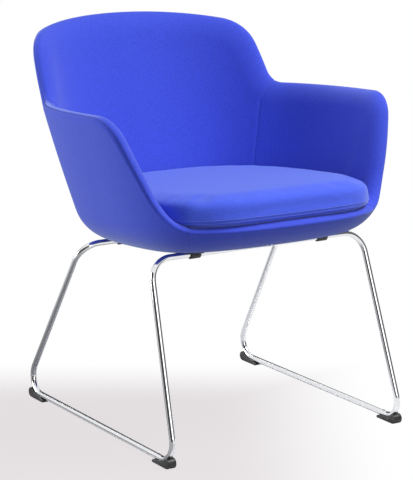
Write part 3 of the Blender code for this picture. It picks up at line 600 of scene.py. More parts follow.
def panel(face, back, drawn_in):
    """A padded panel: its face, drawn in at the seams, its glued back, and closed edges."""
    outward = face - back
    outward /= np.linalg.norm(outward, axis=-1, keepdims=True)
    face = face + outward * (uneven(face, CLOTH_UNEVEN_OVER, CLOTH_UNEVENNESS) - drawn_in)[..., None]
    middle = (face + back) / 2
    ring = np.concatenate([face, back[::-1], face[:1]])
    ends = np.concatenate([middle, middle[::-1], middle[:1]])
    ring = np.concatenate([ends[:, :1], ring, ends[:, -1:]], axis=1)
    rows, columns = ring.shape[:2]
    steps_down = np.linalg.norm(np.diff(ring, axis=0), axis=-1)
    down = np.concatenate([np.zeros((1, columns)), np.cumsum(steps_down, axis=0)])
    widest = down[:, columns // 2]
    steps_over = np.linalg.norm(np.diff(ring, axis=1), axis=-1).mean(axis=0)
    over = np.concatenate([[0.0], np.cumsum(steps_over)])
    work = bmesh.new()
    bmesh.ops.create_grid(work, x_segments=columns - 1, y_segments=rows - 1, size=1.0)
    weave = work.loops.layers.uv.new("weave")
    index = {}
    for vertex in work.verts:
        column = round((vertex.co.x + 1) / 2 * (columns - 1))
        row = round((vertex.co.y + 1) / 2 * (rows - 1))
        index[vertex] = (row, column)
    for quad in work.faces:
        for corner in quad.loops:
            row, column = index[corner.vert]
            corner[weave].uv = (over[column], widest[row])
    for vertex, (row, column) in index.items():
        vertex.co = ring[row, column]
    bmesh.ops.remove_doubles(work, verts=work.verts, dist=1e-6)
    bmesh.ops.dissolve_degenerate(work, edges=work.edges, dist=1e-7)
    bmesh.ops.recalc_face_normals(work, faces=work.faces)
    return work


def over_rim(run, angles):
    """Rows over the rim at angles from its outer lip, 0, over the crest, 90, to its inner shoulder, 180."""
    sizes = (RIM_LIP, RIM_CREST, RIM_THICKNESS, RIM_SHOULDER)
    lip, crest, thick, shoulder = (rim_size(run, size) for size in sizes)
    rows = []
    for angle in np.radians(angles):
        outside = angle <= math.pi / 2
        inner = angle - math.pi / 2
        along = np.where(outside, lip * (1 - np.sin(angle)), shoulder * (1 - np.cos(inner)))
        inner_depth = crest + (thick - crest) * np.sin(inner)
        rows.append((along, None, np.where(outside, crest * (1 - np.cos(angle)), inner_depth)))
    return rows


def behind_rim(run, rows, depth):
    """The rows behind those over the rim, which stay below its lip."""
    lip = rim_size(run, RIM_LIP)
    return [(np.maximum(along, lip), None, depth) for along, _, _ in rows]


def rim_angles(run, shares, end):
    """Angles over the rim from its seam to an end, in degrees."""
    seam = rim_size(run, RIM_SEAM_ANGLE) + math.copysign(RIM_SEAM_HALF_GAP, end - 90.0)
    return seam[None, :] + (end - seam[None, :]) * np.reshape(shares, (-1, 1))


def down_inside(run, shares):
    """Rows down the inside of the wall, and the rows behind them."""
    thick = rim_size(run, RIM_THICKNESS)
    return [(None, share, thick) for share in shares], [(None, share, PAD_DEPTH) for share in shares]


def rows_from_edge(face):
    """How far each row of a face is from its first row."""
    steps = np.linalg.norm(np.diff(face[:, face.shape[1] // 2], axis=0), axis=-1)
    return np.concatenate([[0.0], np.cumsum(steps)])


THREAD_PITCH = 0.0013
THREAD_WANDER = 1.2
THREAD_RELIEF = 0.6


def woven_wool(name, dark_tone, light_tone, sheen):
    """Plain-woven heathered wool: threads over and under on the piece's own weave map, with loose fibres."""
    cloth, tree, shader = blank_finish(name, light_tone, 0.85)
    weave_map = add_node(tree, "ShaderNodeUVMap", uv_map="weave")
    wave_scale = 2 * math.pi / (20 * 2 * THREAD_PITCH)
    warp, weft = (add_node(tree, "ShaderNodeTexWave", Scale=wave_scale, Distortion=THREAD_WANDER,
                           bands_direction=way) for way in ("X", "Y"))
    for threads in (warp, weft):
        threads.inputs["Detail Scale"].default_value = 0.4
        tree.links.new(weave_map.outputs["UV"], threads.inputs["Vector"])
    over_under = add_node(tree, "ShaderNodeTexChecker", Scale=1 / (2 * THREAD_PITCH))
    tree.links.new(weave_map.outputs["UV"], over_under.inputs["Vector"])
    crossing = add_node(tree, "ShaderNodeMix", data_type="FLOAT")
    tree.links.new(over_under.outputs["Fac"], crossing.inputs["Factor"])
    tree.links.new(warp.outputs["Fac"], crossing.inputs["A"])
    tree.links.new(weft.outputs["Fac"], crossing.inputs["B"])
    fibres = add_node(tree, "ShaderNodeMath", operation="MULTIPLY_ADD")
    fibres.inputs[1].default_value = THREAD_RELIEF
    tree.links.new(crossing.outputs["Result"], fibres.inputs[0])
    tree.links.new(grain(tree, 1400.0, detail=4.0), fibres.inputs[2])
    roughen(tree, shader, fibres.outputs["Value"], distance=0.0004, strength=0.28)
    mottle(tree, shader, grain(tree, 460.0, detail=5.0), dark_tone, light_tone)
    shader.inputs["Sheen Weight"].default_value = sheen
    shader.inputs["Sheen Roughness"].default_value = 0.45
    shader.inputs["Sheen Tint"].default_value = (0.80, 0.95, 1.0, 1.0)
    shader.inputs["Specular IOR Level"].default_value = 0.35
    return cloth


wool = woven_wool("royal_blue_wool", (0.028, 0.053, 0.520), (0.045, 0.082, 0.700), sheen=0.38)

front_seam = WIDEST_AROUND + FRONT_SEAM
PAD_PANELS = (
    ("back_inner_pad", -BACK_SEAM, BACK_SEAM, "inner_back_pad"),
    ("left_inner_arm_pad", -front_seam, -BACK_SEAM, "left_arm_pad"),
    ("right_inner_arm_pad", BACK_SEAM, front_seam, "right_arm_pad"),
)
for name, first, last, node in PAD_PANELS:
    run, seam_distance = seam_to_seam(first, last)
    rim_rows = over_rim(run, rim_angles(run, np.linspace(0.0, 1.0, PAD_RIM_ROWS) ** SEAM_CROWDING, 180.0))
    wall_rows, wall_backs = down_inside(run, np.linspace(0.0, PAD_END, PAD_WALL_ROWS + 1)[1:])
    face = layer_points(run, rim_rows + wall_rows)
    rim_seam_shows = rim_size(run, RIM_SEAM_SHOWS)[None, :]
    drawn_in = np.maximum(rolled_edge(seam_distance, SEAM_ROLL_WIDTH, SEAM_ROLL_DROP)[None, :],
                          rim_seam_shows * rolled_edge(rows_from_edge(face), *RIM_SEAM_ROLL)[:, None])
    back = layer_points(run, behind_rim(run, rim_rows, PAD_DEPTH) + wall_backs)
    piece = set_piece(name, panel(face, back, drawn_in), wool, [node], CLOTH_SHARP_DEGREES)

# Outer covers. The same wool cloth over thin wadding on the outside of the shell, sewn to the inner panels in
# the seam under the rim, pulled down and turned under the base. Three panels, level with the inner ones.
COVER_THICKNESS = 0.005
COVER_TUCK = (0.007, 0.0005)
COVER_RIM_ROWS = 14
COVER_WALL_ROWS = 60
COVER_LIP_SHARES = np.linspace(0.1, 0.9, 7)
FRONT_SEAM_SHOWS = 0.020
SEAM_LEFT_BELOW = 0.1


def seam_fade(below_rim):
    """The front seams show near the rim, and are drawn flat below it."""
    return np.interp(below_rim, (FRONT_SEAM_SHOWS, 2 * FRONT_SEAM_SHOWS), (1.0, SEAM_LEFT_BELOW))


def below_lip(run, shares):
    """Rows on the outside, at shares of the way from the rim's lip down to its shoulder."""
    lip = rim_size(run, RIM_LIP)
    span = rim_size(run, RIM_SHOULDER) - lip
    return [(lip + span * share, None, 0.0) for share in shares]


COVER_PANELS = (
    ("back_outer_cover", -BACK_SEAM, BACK_SEAM, "outer_back_cover"),
    ("left_side_cover", -front_seam, -BACK_SEAM, "left_outer_cover"),
    ("right_side_cover", BACK_SEAM, front_seam, "right_outer_cover"),
)
for name, first, last, node in COVER_PANELS:
    run, seam_distance = seam_to_seam(first, last)
    place = rim_at(run)[0][:, 0]
    rim_rows = over_rim(run, rim_angles(run, np.linspace(0.0, 1.0, COVER_RIM_ROWS) ** SEAM_CROWDING, 0.0))
    rows = below_lip(run, COVER_LIP_SHARES)
    rows += [(None, share, 0.0) for share in np.linspace(0.0, 1.0, COVER_WALL_ROWS)]
    face = layer_points(run, rim_rows + rows)
    below_rim = rows_from_edge(face)
    shows = np.where(np.abs(place)[None, :] > WIDEST_AROUND, seam_fade(below_rim)[:, None], 1.0)
    rim_seam_shows = rim_size(run, RIM_SEAM_SHOWS)[None, :]
    drawn_in = np.maximum(shows * rolled_edge(seam_distance, SEAM_ROLL_WIDTH, SEAM_ROLL_DROP)[None, :],
                          rim_seam_shows * tucked_edge(below_rim, *COVER_TUCK)[:, None])
    backs = behind_rim(run, rim_rows, COVER_THICKNESS)
    backs += [(along, share, COVER_THICKNESS) for along, share, _ in rows]
    work = panel(face, layer_points(run, backs), drawn_in)
    piece = set_piece(name, work, wool, [node], CLOTH_SHARP_DEGREES)

# Front apron. One strip of cloth over the foam lip in front of the seat, from the base, over the lip and down
# inside, sewn to the arms with a short seam at each front corner. Its pull leaves faint level wrinkles.
APRON_PAD_END = 0.40
APRON_FRONT_ROWS = 34
APRON_LIP_SHARES = np.linspace(0.85, 0.1, 6)
APRON_RIM_ROWS = 26
APRON_WALL_ROWS = 13
APRON_WRINKLE = 0.00045
APRON_WRINKLE_LENGTH = 0.13
APRON_WRINKLE_PITCH = 0.0085
APRON_WRINKLE_PATTERN = 4.0
APRON_WRINKLES_BELOW_RIM = (0.0, 0.012, 0.05, 0.07)
APRON_WRINKLES_FROM_SEAM = (0.01, 0.09)
run, seam_distance = seam_to_seam(front_seam, 2 * PLAN_LENGTH - front_seam)
outside = [(None, share, 0.0) for share in np.linspace(1.0, 0.0, APRON_FRONT_ROWS)]
outside += below_lip(run, APRON_LIP_SHARES)
rim_rows = over_rim(run, np.linspace(0.0, 180.0, APRON_RIM_ROWS)[:, None] + np.zeros_like(run))
wall_rows, wall_backs = down_inside(run, np.linspace(0.0, APRON_PAD_END, APRON_WALL_ROWS + 1)[1:])
face = layer_points(run, outside + rim_rows + wall_rows)
outside_backs = [(along, share, COVER_THICKNESS) for along, share, _ in outside]
back = layer_points(run, outside_backs + behind_rim(run, rim_rows, PAD_DEPTH) + wall_backs)
from_base = rows_from_edge(face)
below_rim = np.clip(from_base[len(outside)] - from_base, 0.0, None)
seams = rolled_edge(seam_distance, SEAM_ROLL_WIDTH, SEAM_ROLL_DROP)
on_front = np.interp(below_rim, APRON_WRINKLES_BELOW_RIM, (0.0, 1.0, 1.0, 0.0))
across = np.interp(seam_distance, APRON_WRINKLES_FROM_SEAM, (0.0, 1.0))
wrinkle_run = [float(x) / APRON_WRINKLE_LENGTH for x in run]
wrinkle_rows = [float(z) / APRON_WRINKLE_PITCH for z in from_base]
pull = np.array([[noise.noise(Vector((x, z, APRON_WRINKLE_PATTERN))) for x in wrinkle_run]
                 for z in wrinkle_rows])
drawn_in = seam_fade(below_rim)[:, None] * seams[None, :]
drawn_in = drawn_in + APRON_WRINKLE * pull * on_front[:, None] * across[None, :]
work = panel(face, back, drawn_in)
apron = set_piece("front_lip_apron", work, wool, ["front_apron"], CLOTH_SHARP_DEGREES)

# Bottom panel. A thin board faced with black needle felt, which closes the underside inside the turned-under
# covers. It is flat and drilled for the clamp screws, so its solid stays.
felt, felt_tree, felt_shader = blank_finish("black_needle_felt", (0.016, 0.016, 0.017), 0.95)
felt_specks = grain(felt_tree, 700.0, detail=5.0)
mottle(felt_tree, felt_shader, felt_specks, (0.009, 0.009, 0.010), (0.027, 0.027, 0.029))
roughen(felt_tree, felt_shader, grain(felt_tree, 1100.0, detail=6.0), distance=0.0006, strength=0.5)
felt_shader.inputs["Sheen Weight"].default_value = 0.1
refinish(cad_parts["bottom_panel"], felt)

# Rail clamps. Saddles of black moulded plastic that wrap each rail from below, with an ear at each side that
# takes a screw up into the tub's floor.
SADDLE_WIDTH = 0.022
SADDLE_WALL = 0.0026
SADDLE_SLOT_GAP = 0.0002
SADDLE_BODY_GAP = 0.0003
SADDLE_ARC_POINTS = 25
SADDLE_EAR_REACH = 0.0195
SADDLE_EAR_THICKNESS = 0.004
SADDLE_EDGE_ROUND = 0.0008
SCREW_SETBACK = 0.0138
SCREW_HOLE_RADIUS = 0.0028
SCREW_HOLE_LENGTH = 0.03
RAIL_SPACING = math.hypot(REAR_RAIL[0] - FRONT_RAIL[0], FRONT_RAIL[1] - REAR_RAIL[1])
CLAMP_PLACES = {"front": (0.14578, 0.0), "rear": (0.14835, RAIL_SPACING)}
deck_place = Matrix.Translation((0.0, FRONT_RAIL[0] + chair_y + DECK_Y, FRONT_RAIL[1] + DECK_Z))
deck_place = deck_place @ Matrix.Rotation(-BASE_SLOPE, 4, "X")


def saddle_outline():
    """End view about the rod: across the rail, then height, open upwards round the rod."""
    slot = ROD_RADIUS + SADDLE_SLOT_GAP
    body = ROD_RADIUS + SADDLE_BODY_GAP + SADDLE_WALL
    top = ROD_RADIUS
    under = top - SADDLE_EAR_THICKNESS
    outline = [(SADDLE_EAR_REACH, under), (SADDLE_EAR_REACH, top), (slot, top)]
    outline += arc_points((0.0, 0.0), slot, 0.0, -180.0, SADDLE_ARC_POINTS)
    outline += [(-slot, top), (-SADDLE_EAR_REACH, top), (-SADDLE_EAR_REACH, under), (-body, under)]
    outline += arc_points((0.0, 0.0), body, 180.0, 360.0, SADDLE_ARC_POINTS)
    outline.append((body, under))
    return outline


for end_name, (spread, rail_y) in CLAMP_PLACES.items():
    for side_name, side in SIDES:
        along_rail = Matrix(((0, 0, 1), (1, 0, 0), (0, 1, 0))).to_4x4()
        seat = deck_place @ Matrix.Translation((side * spread, rail_y, -RAIL_TO_DECK))
        saddle = outlined_slab(saddle_outline(), SADDLE_WIDTH, seat @ along_rail, SADDLE_EDGE_ROUND)
        for edge in (-1, 1):
            drill = bmesh.new()
            hole = seat @ Matrix.Translation((0.0, edge * SCREW_SETBACK, 0.0))
            bmesh.ops.create_cone(drill, cap_ends=True, segments=20, radius1=SCREW_HOLE_RADIUS,
                                  radius2=SCREW_HOLE_RADIUS, depth=SCREW_HOLE_LENGTH, matrix=hole)
            cut_away(saddle, drill)
            drill.free()
        set_piece(f"{end_name}_{side_name}_rail_clamp", saddle, plastic,
                  [f"{end_name}_{side_name}_saddle"])

# Clamp screws. M5 pan-head screws with a hexagon socket, black zinc plated so that they don't show in the
# black clamps, driven up through the clamp's ears and the bottom panel into the tee nuts.
SCREW_RADIUS = 0.0025
SCREW_HEAD_RADIUS = 0.0046
SCREW_HEAD_HEIGHT = 0.0028
SCREW_HEAD_TOP = -0.0046
SCREW_HEAD_DOME = ((1.0, 0.0), (1.0, 0.0010), (0.94, 0.0018), (0.76, 0.0025), (0.54, SCREW_HEAD_HEIGHT))
SCREW_END = 0.0148
SCREW_TIP = (0.8, 0.0008)
SOCKET_HALF_WIDTH = 0.0015
SOCKET_DEPTH = 0.0014


def next_ring(work, ring, radius, height, hexagon):
    """Draws a ring on to a new radius and height, round or six-sided."""
    ring = run_straight(work, ring, Vector((0.0, 0.0, 0.0)))
    for vertex in {vertex for edge in ring for vertex in edge.verts}:
        angle = math.atan2(vertex.co.y, vertex.co.x)
        reach = radius
        if hexagon:
            reach = radius / math.cos((angle + math.pi / 6) % (math.pi / 3) - math.pi / 6)
        vertex.co = (reach * math.cos(angle), reach * math.sin(angle), height)
    return ring


def pan_head_screw(place):
    """Turned from a ring that is drawn up the shank's side, out under the head and into the socket."""
    low = SCREW_HEAD_TOP - SCREW_HEAD_HEIGHT
    tip_share, tip_length = SCREW_TIP
    profile = [(SCREW_RADIUS * tip_share, SCREW_END), (SCREW_RADIUS, SCREW_END - tip_length),
               (SCREW_RADIUS, SCREW_HEAD_TOP)]
    profile += [(SCREW_HEAD_RADIUS * share, SCREW_HEAD_TOP - drop) for share, drop in SCREW_HEAD_DOME]
    work = bmesh.new()
    bmesh.ops.create_circle(work, cap_ends=True, segments=24, radius=profile[0][0],
                            matrix=Matrix.Translation((0.0, 0.0, profile[0][1])))
    ring = list(work.edges)
    for radius, height in profile[1:]:
        ring = next_ring(work, ring, radius, height, False)
    ring = next_ring(work, ring, SOCKET_HALF_WIDTH, low, True)
    ring = next_ring(work, ring, SOCKET_HALF_WIDTH, low + SOCKET_DEPTH, True)
    bmesh.ops.contextual_create(work, geom=ring)
    bmesh.ops.transform(work, matrix=place, verts=work.verts)
    bmesh.ops.recalc_face_normals(work, faces=work.faces)
    return work


black_zinc, dark_tree, dark_shader = blank_finish("black_zinc_plate", (0.045, 0.045, 0.05), 0.4, metallic=1.0)
uneven_gloss(dark_tree, dark_shader, scale=420.0, low=0.32, high=0.52)
for end_name, (spread, rail_y) in CLAMP_PLACES.items():
    for side_name, side in SIDES:
        for edge_name, edge in (("fore", -1), ("aft", 1)):
            place = deck_place @ Matrix.Translation((side * spread, rail_y + edge * SCREW_SETBACK, 0.0))
            which = f"{end_name}_{side_name}_{edge_name}"
            set_piece(f"{which}_clamp_screw", pan_head_screw(place), black_zinc,
                      [f"{which}_screw"], sharp_degrees=30.0)

# Seat deck. A block of cream polyurethane foam on the shell's floor, cut to the floor's outline, which
# carries the cushion. It can only be seen with the cushion lifted out.
DECK_HEIGHT = 0.0530
DECK_FOAM_BASE = 0.0157
DECK_OVERHANG = 0.002
DECK_EDGE_ROUND = 0.003
DECK_EDGE_GAP = 0.0006
DECK_TOP_GAP = 0.0003
DECK_EDGE_POINTS = 160


def deck_outline(overhang):
    """The edge of the tub's flat base, on the deck plane."""
    place = np.linspace(0.0, 2 * PLAN_LENGTH, DECK_EDGE_POINTS, endpoint=False)
    side, (x, y, out_x, out_y) = unrolled(place)
    _, radius, round_end, slope = base_round(y, out_y)
    out = wall_lean(round_end, out_y) - radius * np.cos(slope) + overhang
    flat_y = (y + out_y * out - DECK_Y) / math.cos(BASE_SLOPE)
    return list(zip(side * (x + out_x * out), flat_y))


foam, foam_tree, foam_shader = blank_finish("cream_foam", (0.80, 0.74, 0.55), 0.95)
mottle(foam_tree, foam_shader, grain(foam_tree, 300.0), (0.76, 0.69, 0.50), (0.84, 0.78, 0.60))
roughen(foam_tree, foam_shader, grain(foam_tree, 900.0, detail=6.0), distance=0.0008, strength=0.5)
foam_thickness = DECK_HEIGHT - DECK_TOP_GAP - DECK_FOAM_BASE
foam_place = deck_place @ Matrix.Translation((0.0, 0.0, DECK_FOAM_BASE + foam_thickness / 2))
deck_edge = deck_outline(DECK_OVERHANG - DECK_EDGE_GAP)
deck_block = outlined_slab(deck_edge, foam_thickness, foam_place, DECK_EDGE_ROUND)
deck_foam = set_piece("seat_deck_block", deck_block, foam, ["seat_deck_foam"])

# Seat cushion. A loose foam cushion in wool cloth, whose lighter tone is painted light for the stronger light
# the cushion
# catches: a crowned top, full round edges, flat where it rests, and sewn with a seam all round near the lower
# edge.
# It comes as far forward as the apron.
CUSHION_THICKNESS = 0.058
CUSHION_CROWN = 0.004
CUSHION_SIDE_GAP = 0.005
CUSHION_FRONT_SQUARENESS = 4.0
CUSHION_EDGE_DEPTH = 0.040
CUSHION_EDGE_SQUARENESS = 2.8
CUSHION_EDGE_SHARE = 0.6
CUSHION_ROUND = 0.012
CUSHION_DRAW_IN = 0.004
CUSHION_SHRINK = 0.0015
CUSHION_VOXEL = 0.005
CUSHION_PRESSURE = 4.0
CUSHION_SWELL_FRAMES = 20
CUSHION_SWELL_LIMIT = 0.005
CUSHION_EASING = 6
CUSHION_EASING_SHARE = 0.5
SEAM_LEVEL = 0.0135
SEAM_GROOVE = 0.0009
SEAM_GROOVE_WIDTH = 0.0030
SEAM_GROOVE_CUTS = (-1.0, -0.62, -0.3, 0.0, 0.3, 0.62, 1.0)
SEAM_STEEPEST = 0.9
WEAVE_LIES_FLAT = 0.6


def pad_face(around, clear):
    """Places beside the pads, just above the cushion's lower edge, on the deck plane."""
    _, (_, y, _, out_y) = unrolled(around)
    level = base_round(y, out_y)[0] + DECK_HEIGHT + CUSHION_ROUND
    points = wall_points(around, level, along_rim(around, RIM_THICKNESS) + clear)
    flat = np.array(deck_place.inverted()) @ np.concatenate([points, np.ones((len(points), 1))], axis=1).T
    return flat[0], flat[1]


def cushion_edge(turn, inset):
    """The cushion's edge on the deck plane. Behind its widest line it follows the pads."""
    around = WIDEST_AROUND * np.abs(turn - math.pi / 2) / (math.pi / 2)
    beside_x, beside_y = pad_face(np.clip(around, 0.0, WIDEST_AROUND), CUSHION_SIDE_GAP + inset)
    widest_x, widest_y = pad_face(np.full_like(turn, WIDEST_AROUND), CUSHION_SIDE_GAP + inset)
    lip = wall_points(np.array([PLAN_LENGTH]), np.array([FRONT_LIP_HEIGHT]), 0.0)[0]
    front = (deck_place.inverted() @ Vector(lip)).y + inset
    power = 2 / CUSHION_FRONT_SQUARENESS
    front_x = widest_x * np.abs(np.cos(turn)) ** power
    front_y = widest_y - (widest_y - front) * np.abs(np.sin(turn)) ** power
    behind = np.sin(turn) >= 0
    x = np.where(behind, beside_x, front_x)
    return np.copysign(x, np.cos(turn)), np.where(behind, beside_y, front_y)


def stuffed_shape():
    """The cushion before it swells, in the deck's own place."""
    work = bmesh.new()
    bmesh.ops.create_uvsphere(work, u_segments=128, v_segments=48, radius=1.0)
    ball = np.array([vertex.co for vertex in work.verts])
    latitude = np.arcsin(np.clip(ball[:, 2], -1.0, 1.0)) / (math.pi / 2)
    round_share = np.clip(np.abs(latitude) / CUSHION_EDGE_SHARE, 0.0, 1.0) * math.pi / 2
    power = 2 / CUSHION_EDGE_SQUARENESS
    lift = np.sign(latitude) * np.sin(round_share) ** power
    inset = CUSHION_EDGE_DEPTH * (1 - np.abs(np.cos(round_share)) ** power)
    spread = np.clip((1 - np.abs(latitude)) / (1 - CUSHION_EDGE_SHARE), 0.0, 1.0)
    turn = np.arctan2(ball[:, 1], ball[:, 0])
    turn = np.where(turn < -math.pi / 2, turn + 2 * math.pi, turn)
    side_pull = CUSHION_DRAW_IN * (1 - np.abs(lift)) * np.cos(2 * turn) ** 2
    edge_x, edge_y = cushion_edge(turn, CUSHION_SHRINK + inset + side_pull)
    middle_y = pad_face(np.array([WIDEST_AROUND]), 0.0)[1][0]
    crown = np.where(latitude > 0, CUSHION_CROWN * (1 - spread ** 2), 0.0)
    height = (CUSHION_THICKNESS - CUSHION_SHRINK) / 2 * (1 + lift) + crown
    y = middle_y + (edge_y - middle_y) * spread
    for vertex, place in zip(work.verts, np.stack([edge_x * spread, y, DECK_HEIGHT + height], axis=-1)):
        vertex.co = place
    bmesh.ops.recalc_face_normals(work, faces=work.faces)
    return work


def swollen(work):
    """The cushion blown up a little by its filling, held still below the seam."""
    blank = new_object("cushion_blank", mesh_of("cushion_blank", work))
    remesh = blank.modifiers.new("even", "REMESH")
    remesh.mode = "VOXEL"
    remesh.voxel_size = CUSHION_VOXEL
    remesh.use_smooth_shade = True
    graph = bpy.context.evaluated_depsgraph_get()
    even = bpy.data.meshes.new_from_object(blank.evaluated_get(graph))
    bpy.data.objects.remove(blank)
    blank = new_object("cushion_blank", even)
    before = np.array([vertex.co for vertex in even.vertices])
    after = before
    held = blank.vertex_groups.new(name="held")
    low = [int(i) for i in np.nonzero(before[:, 2] < DECK_HEIGHT + SEAM_LEVEL)[0]]
    held.add(low, 1.0, "REPLACE")
    cloth = blank.modifiers.new("filling", "CLOTH")
    cloth.settings.vertex_group_mass = "held"
    cloth.settings.use_pressure = True
    cloth.settings.uniform_pressure_force = CUSHION_PRESSURE
    cloth.settings.effector_weights.gravity = 0.0
    for number in range(1, CUSHION_SWELL_FRAMES + 1):
        bpy.context.scene.frame_set(number)
    graph = bpy.context.evaluated_depsgraph_get()
    after = np.array([vertex.co for vertex in blank.evaluated_get(graph).data.vertices])
    bpy.context.scene.frame_set(1)
    moved = after - before
    length = np.linalg.norm(moved, axis=1, keepdims=True)
    moved *= np.clip(CUSHION_SWELL_LIMIT / np.maximum(length, 1e-9), None, 1.0)
    work.clear()
    work.from_mesh(even)
    for vertex, place in zip(work.verts, before + moved):
        vertex.co = place
    bpy.data.objects.remove(blank)
    return work


cushion_work = swollen(stuffed_shape())
for _ in range(CUSHION_EASING):
    bmesh.ops.smooth_vert(cushion_work, verts=cushion_work.verts, factor=CUSHION_EASING_SHARE,
                          use_axis_x=True, use_axis_y=True, use_axis_z=True)
bmesh.ops.subdivide_edges(cushion_work, edges=cushion_work.edges, cuts=1, use_grid_fill=True, smooth=0.6)
for offset in SEAM_GROOVE_CUTS:
    level = DECK_HEIGHT + SEAM_LEVEL + offset * SEAM_GROOVE_WIDTH
    whole = cushion_work.verts[:] + cushion_work.edges[:] + cushion_work.faces[:]
    bmesh.ops.bisect_plane(cushion_work, geom=whole, dist=1e-5, plane_co=(0.0, 0.0, level),
                           plane_no=(0.0, 0.0, 1.0))
cushion_work.normal_update()
groove_moves = []
for vertex in cushion_work.verts:
    beside = abs(vertex.co.z - DECK_HEIGHT - SEAM_LEVEL) / SEAM_GROOVE_WIDTH
    if beside < 1 and abs(vertex.normal.z) < SEAM_STEEPEST:
        flat = Vector((vertex.normal.x, vertex.normal.y, 0.0)).normalized()
        groove_moves.append((vertex, -flat * SEAM_GROOVE * (1 - beside) ** 2))
for vertex, move in groove_moves:
    vertex.co += move
cushion_tree = BVHTree.FromBMesh(cushion_work)
weave = cushion_work.loops.layers.uv.new("weave")
for quad in cushion_work.faces:
    normal = quad.normal
    for corner in quad.loops:
        place = corner.vert.co
        if abs(normal.z) > WEAVE_LIES_FLAT:
            corner[weave].uv = (place.x, place.y)
        elif abs(normal.y) > abs(normal.x):
            corner[weave].uv = (place.x, place.z)
        else:
            corner[weave].uv = (place.y, place.z)
bmesh.ops.transform(cushion_work, matrix=deck_place, verts=cushion_work.verts)
bmesh.ops.recalc_face_normals(cushion_work, faces=cushion_work.faces)
# A lighter copy of the wool for the cushion: painted light that stands in for the stronger light falling on
# it.
cushion_wool_painted_lighter = woven_wool("blue_wool_painted_lighter", (0.043, 0.085, 0.650), (0.063, 0.121, 0.850), sheen=0.46)
cushion = set_piece("loose_seat_cushion", cushion_work, cushion_wool_painted_lighter, ["seat_cushion"],
                    sharp_degrees=180.0)

# Cushion stitching. Two rows of thick blue thread round the cushion, one at each side of the seam, sewn by
# machine with stitches about four millimetres long.
STITCH_PITCH = 0.0042
STITCH_LENGTH = 0.0031
STITCH_RADIUS = 0.00060
STITCH_WIDENING = 1.15
STITCH_FROM_SEAM = 0.0030
STITCHES_AT_ONCE = 40
SEAM_RING_POINTS = 720
SEAM_RING_MIDDLE = 0.12


def seam_ring(level):
    """Points round the cushion's side at a level, with the way outwards there, and the lengths to them."""
    ring = []
    for angle in np.linspace(0.0, 2 * math.pi, SEAM_RING_POINTS, endpoint=False):
        way = Vector((-math.cos(angle), -math.sin(angle), 0.0))
        start = Vector((0.0, SEAM_RING_MIDDLE, DECK_HEIGHT + level)) - way
        place, normal, _, _ = cushion_tree.ray_cast(start, way)
        ring.append((place, normal))
    lengths = [0.0]
    for (place, _), (after, _) in zip(ring, ring[1:] + ring[:1]):
        lengths.append(lengths[-1] + (after - place).length)
    return ring, lengths


def stitch_places():
    """Where each stitch lies: along the cushion's side, end to end."""
    places = []
    for level in (SEAM_LEVEL - STITCH_FROM_SEAM, SEAM_LEVEL + STITCH_FROM_SEAM):
        ring, lengths = seam_ring(level)
        count = round(lengths[-1] / STITCH_PITCH)
        for number in range(count):
            along = lengths[-1] * number / count
            step = min(int(np.searchsorted(lengths, along, "right")) - 1, len(ring) - 1)
            share = (along - lengths[step]) / (lengths[step + 1] - lengths[step])
            place, normal = ring[step]
            after, _ = ring[(step + 1) % len(ring)]
            thread = (after - place).normalized()
            up = normal.cross(thread).normalized()
            turn = Matrix((thread, up, thread.cross(up))).transposed().to_4x4()
            places.append(Matrix.Translation(place.lerp(after, share)) @ turn)
    return places


def stitch_rows():
    """A small rounded stitch at each place, made some at a time."""
    work = bmesh.new()
    places = stitch_places()
    size = Matrix.Diagonal((STITCH_LENGTH / 2, STITCH_RADIUS * STITCH_WIDENING, STITCH_RADIUS, 1.0))
    for first in range(0, len(places), STITCHES_AT_ONCE):
        length = bmesh.new()
        for place in places[first:first + STITCHES_AT_ONCE]:
            bmesh.ops.create_uvsphere(length, u_segments=6, v_segments=5, radius=1.0, matrix=place @ size)
        mesh = mesh_of("stitches", length)
        length.free()
        work.from_mesh(mesh)
        bpy.data.meshes.remove(mesh)
    bmesh.ops.transform(work, matrix=deck_place, verts=work.verts)
    bmesh.ops.recalc_face_normals(work, faces=work.faces)
    return work


# The thread's light tone is partly its own colour and partly a painted highlight, so that the stitches show
# as light lines.
thread, thread_tree, thread_shader = blank_finish("lighter_blue_thread_painted_highlight", (0.16, 0.22, 0.82), 0.6)
mottle(thread_tree, thread_shader, grain(thread_tree, 900.0), (0.13, 0.18, 0.76), (0.20, 0.27, 0.88))
thread_shader.inputs["Sheen Weight"].default_value = 0.15
set_piece("cushion_stitching", stitch_rows(), thread, [], CLOTH_SHARP_DEGREES)

# Stage. A plain pale floor that runs into a white background, soft light from large panels, grey cards that
# only the chrome sees, and the camera at the photograph's viewing angle. The floor's glow is painted light,
# painted grey as shade near the chair, and the cards lying on the floor are painted shade in the chrome's
# reflections.
scene = bpy.context.scene
scene.view_settings.view_transform = "Standard"


def stage_sheet(name, width, depth, place):
    """A flat sheet of the stage, in its place."""
    work = bmesh.new()
    size = Matrix.Diagonal((width / 2, depth / 2, 1.0, 1.0))
    bmesh.ops.create_grid(work, x_segments=1, y_segments=1, size=1.0, matrix=place @ size)
    sheet = new_object(name, mesh_of(name, work))
    work.free()
    return sheet


def larger(tree, first, second):
    """The larger of two values."""
    node = add_node(tree, "ShaderNodeMath", operation="MAXIMUM")
    for socket, value in zip(node.inputs, (first, second)):
        tree.links.new(value, socket)
    return node.outputs["Value"]


def seen_directly(tree):
    """1 for what the camera, a polished surface or glass sees, 0 for light that falls on the object."""
    path = add_node(tree, "ShaderNodeLightPath")
    camera_or_gloss = larger(tree, path.outputs["Is Camera Ray"], path.outputs["Is Glossy Ray"])
    return larger(tree, camera_or_gloss, path.outputs["Is Transmission Ray"])


def mixed(tree, share, first, second):
    """A shader that goes over into another as a share goes from 0 to 1."""
    node = add_node(tree, "ShaderNodeMixShader")
    for socket, value in zip(node.inputs, (share, first, second)):
        tree.links.new(value, socket)
    return node.outputs["Shader"]


